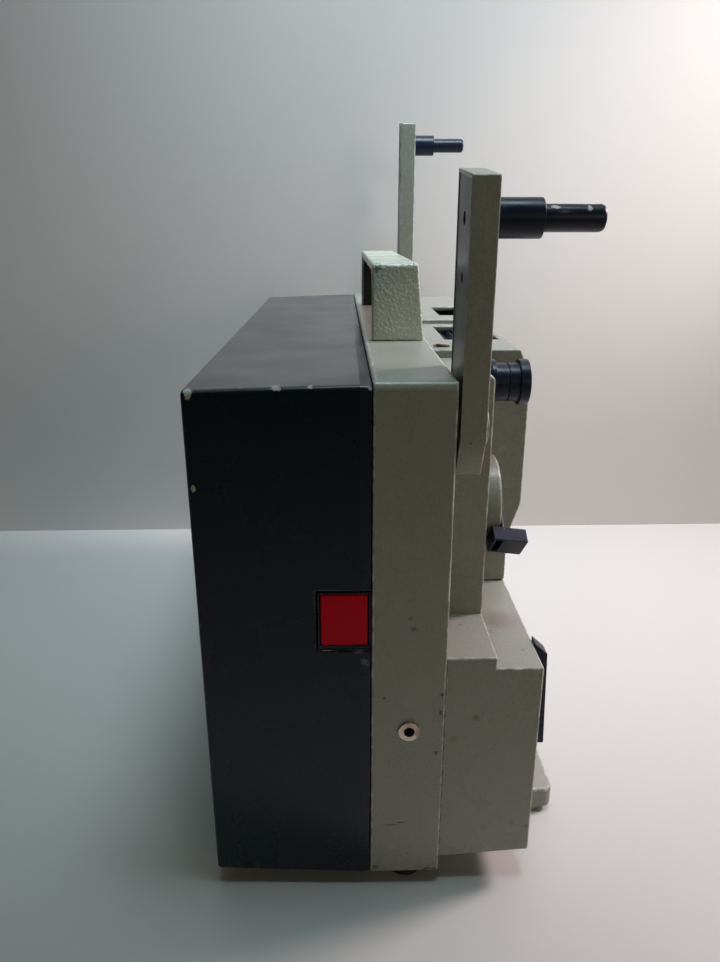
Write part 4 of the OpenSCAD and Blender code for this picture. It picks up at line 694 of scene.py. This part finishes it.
round_edges("main_frame", "grey_enamel", (1.4, at_top("main_frame")), 0.7)
round_edges("back_cover", "dark_enamel", (0.3, at_seam), 1.2, reshape=slope_lip, fold=lip_fold)
round_edges("button_bezel", "black_plastic", 0.25)
round_edges("release_button", "red_plastic", 0.5)
round_edges("handle", "hammered_enamel", 1.0)
round_edges("handle_liner", "rubber", 0.3)
round_edges("film_housing", "grey_enamel", 0.7)
round_edges("base_plate", "grey_enamel", (1.2, at_top("base_plate")), 0.5)
round_edges("lamphouse", "grey_enamel", 0.7)
round_edges("vent_grille", "black_plastic", 0.12)
round_edges("gate_cover", "grey_enamel", 0.7)
round_edges("selector_knob", "black_plastic", 0.35)
round_edges("control_dial", "grey_enamel", 0.3)
round_edges("dial_lever", "black_plastic", 0.3)
round_edges("guide_roller", "black_plastic", 0.2)
round_edges("jack_socket", "nickel", 0.25)
round_edges("mains_inlet", "black_plastic", 0.2)
round_edges("rear_arm", "grey_enamel", (0.2, at_back("rear_arm")), 0.5)
round_edges("front_arm", "grey_enamel", (0.2, at_back("front_arm")), 0.5)
round_edges("rear_arm_plate", "plate_blue", 0.2)
round_edges("front_arm_plate", "plate_blue", 0.2)
round_edges("rear_spindle", "black_plastic", (1.4, at_tip("rear_spindle")), 0.25)
round_edges("front_spindle", "black_plastic", (1.4, at_tip("front_spindle")), 0.25)
round_edges("lens_mount", "lens_metal", 0.3)
round_edges("lens_barrel", "lens_metal", 0.25)
round_edges("focus_ring", "lens_metal", 0.12)
feet = round_edges("rubber_feet", "rubber", 0.5)

# The feet of the base plate are paler than those under the frame
feet.data.materials.append(finishes["pale_rubber"])
base_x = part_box("film_housing")[1].x
for face in feet.data.polygons:
    face.material_index = 1 if face.center.x > base_x else 0

INNER = {
    "steel": ["chassis_plate", "gate_hinge_pin", "roller_pin", "motor_bracket", "motor_shaft", "main_shaft",
              "rear_drive_shaft", "front_drive_shaft", "gate_plate", "transformer_core"],
    "nickel": ["reflector", "pressure_plate"],
    "bronze": ["arm_bushes", "shaft_bearings"],
    "motor_paint": ["motor_body"],
    "winding": ["transformer_coil"],
    "black_plastic": ["cooling_fan", "main_pulley", "shutter"],
    "white_plastic": ["drive_worms", "takeup_gear", "rewind_gear", "lamp_socket"],
    "rubber": ["drive_belt", "takeup_belt", "rewind_belt", "rear_arm_belt", "front_arm_belt"],
    "glass": ["lamp_bulb", "lens_glass", "condenser"],
}
for finish, names in INNER.items():
    for name in names:
        nodes[name].data.materials.clear()
        nodes[name].data.materials.append(finishes[finish])


def make_roof_pin():
    """Small pin lying along the near edge of the lamphouse roof: a bright ball, then a tapered brass body."""
    low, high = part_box("lamphouse")
    start = Vector((low.x + 1.6 * MM, low.y + 6.4 * MM, high.z + 0.5 * MM))
    ball = bmesh.new()
    bmesh.ops.create_uvsphere(ball, u_segments=20, v_segments=12, radius=0.8 * MM)
    bmesh.ops.translate(ball, verts=ball.verts, vec=start)
    body = bmesh.new()
    bmesh.ops.create_cone(
        body, cap_ends=True, segments=24, radius1=0.7 * MM, radius2=0.4 * MM, depth=5 * MM)
    bmesh.ops.rotate(body, verts=body.verts, matrix=Vector((1, 0, 0)).to_track_quat("Z", "Y").to_matrix())
    bmesh.ops.translate(body, verts=body.verts, vec=start + Vector((3.0 * MM, 0, 0)))
    for name, shape, finish, slot in (
            ("roof_pin_ball", ball, "nickel", "nickel"), ("roof_pin_body", body, "dark_brass", "bronze")):
        for face in shape.faces:
            face.smooth = len(face.verts) < 5
        link_piece(name, shape, "lamphouse", finish)


make_roof_pin()


# Stage

def make_sheet(name, corners, material):
    """A flat backdrop sheet between four corners."""
    shape = bmesh.new()
    shape.faces.new([shape.verts.new(c) for c in corners])
    mesh = bpy.data.meshes.new(name)
    shape.to_mesh(mesh)
    shape.free()
    mesh.materials.append(material)
    sheet = bpy.data.objects.new(name, mesh)
    bpy.context.scene.collection.objects.link(sheet)


def make_table_top():
    """Plain pale table under the projector."""
    material, tree, skin = new_finish("table_top")
    toned = use(tree, tone_drift, {"Colour": tint(212, 210, 208), "Drift": 0.03, "Drift Scale": 4.0, "Grain": 0.01})
    tree.links.new(toned, skin.inputs["Base Color"])
    set_gloss(tree, skin, 0.42, 0.5, 6.0)
    half = TABLE_HALF
    make_sheet("table", [(-half, -half, 0), (half, -half, 0), (half, half, 0), (-half, half, 0)], material)


def make_wall():
    """Plain pale wall close behind the lens end, seen from its near side only."""
    material, tree, skin = new_finish("wall_paint")
    toned = use(tree, tone_drift, {"Colour": tint(212, 208, 203), "Drift": 0.03, "Drift Scale": 4.0, "Grain": 0.02})
    tree.links.new(toned, skin.inputs["Base Color"])
    set_gloss(tree, skin, 0.5, 0.6, 6.0)
    behind = shade(tree, "ShaderNodeNewGeometry").outputs["Backfacing"]
    clear = shade(tree, "ShaderNodeBsdfTransparent")
    chosen = shade(tree, "ShaderNodeMixShader", {0: behind, 1: skin.outputs[0], 2: clear.outputs[0]})
    tree.links.new(chosen.outputs[0], tree.nodes["Material Output"].inputs["Surface"])
    outline = [(-WALL_HALF, 0), (WALL_HALF, 0), (WALL_HALF, WALL_TOP), (-WALL_HALF, WALL_TOP)]
    make_sheet("wall", [(x, WALL_Y, z) for x, z in outline], material)


def hang_lamp(lamp, location, target):
    """Place a lamp so that it points at a target."""
    light = bpy.data.objects.new(lamp.name, lamp)
    light.location = location
    light.rotation_euler = (Vector(target) - Vector(location)).to_track_quat("-Z", "Y").to_euler()
    bpy.context.scene.collection.objects.link(light)


def make_light(name, location, target, size, spread, energy, colour):
    """Soft round lamp."""
    lamp = bpy.data.lights.new(name, "AREA")
    lamp.shape = "DISK"
    lamp.size = size
    lamp.spread = math.radians(spread)
    lamp.energy = energy
    lamp.color = colour
    hang_lamp(lamp, location, target)


def make_wall_spot(location, target, angle, energy, colour):
    """Soft round pool of light on the wall."""
    lamp = bpy.data.lights.new("wall_light", "SPOT")
    lamp.spot_size = math.radians(angle)
    lamp.spot_blend = 1.0
    lamp.shadow_soft_size = 0.05
    lamp.energy = energy
    lamp.color = colour
    hang_lamp(lamp, location, target)


def make_room():
    """Faint even light from all round."""
    world = bpy.data.worlds.new("room")
    bpy.context.scene.world = world
    world.use_nodes = True
    sky = world.node_tree.nodes["Background"].inputs
    sky["Color"].default_value = (0.93, 0.97, 1.0, 1.0)
    sky["Strength"].default_value = 0.015


make_table_top()
make_wall()
make_light("key_light", (0.62, 0.085, 0.55), (0.05, 0.03, 0.08), 0.2, 110, 1.85, (1.0, 0.84, 0.85))
make_light("top_light", (0.03, -0.08, 1.1), (-0.06, 0.0, 0.0), 0.4, 60, 0.25, (0.74, 1.0, 0.92))
make_light("wash_light", (0.1, -0.1, 0.85), (0.02, WALL_Y, 0.3), 0.25, 80, 0.84, (0.7, 0.86, 1.0))
make_light("front_light", (1.0, -1.7, 0.55), (0.0, 0.0, 0.1), 0.5, 60, 0.35, (1.0, 0.87, 0.62))
make_wall_spot((0.6, -0.35, 0.6), (0.25, WALL_Y, 0.31), 30, 15.0, (1.0, 0.98, 1.0))
make_room()
bpy.context.scene.view_settings.view_transform = "Standard"
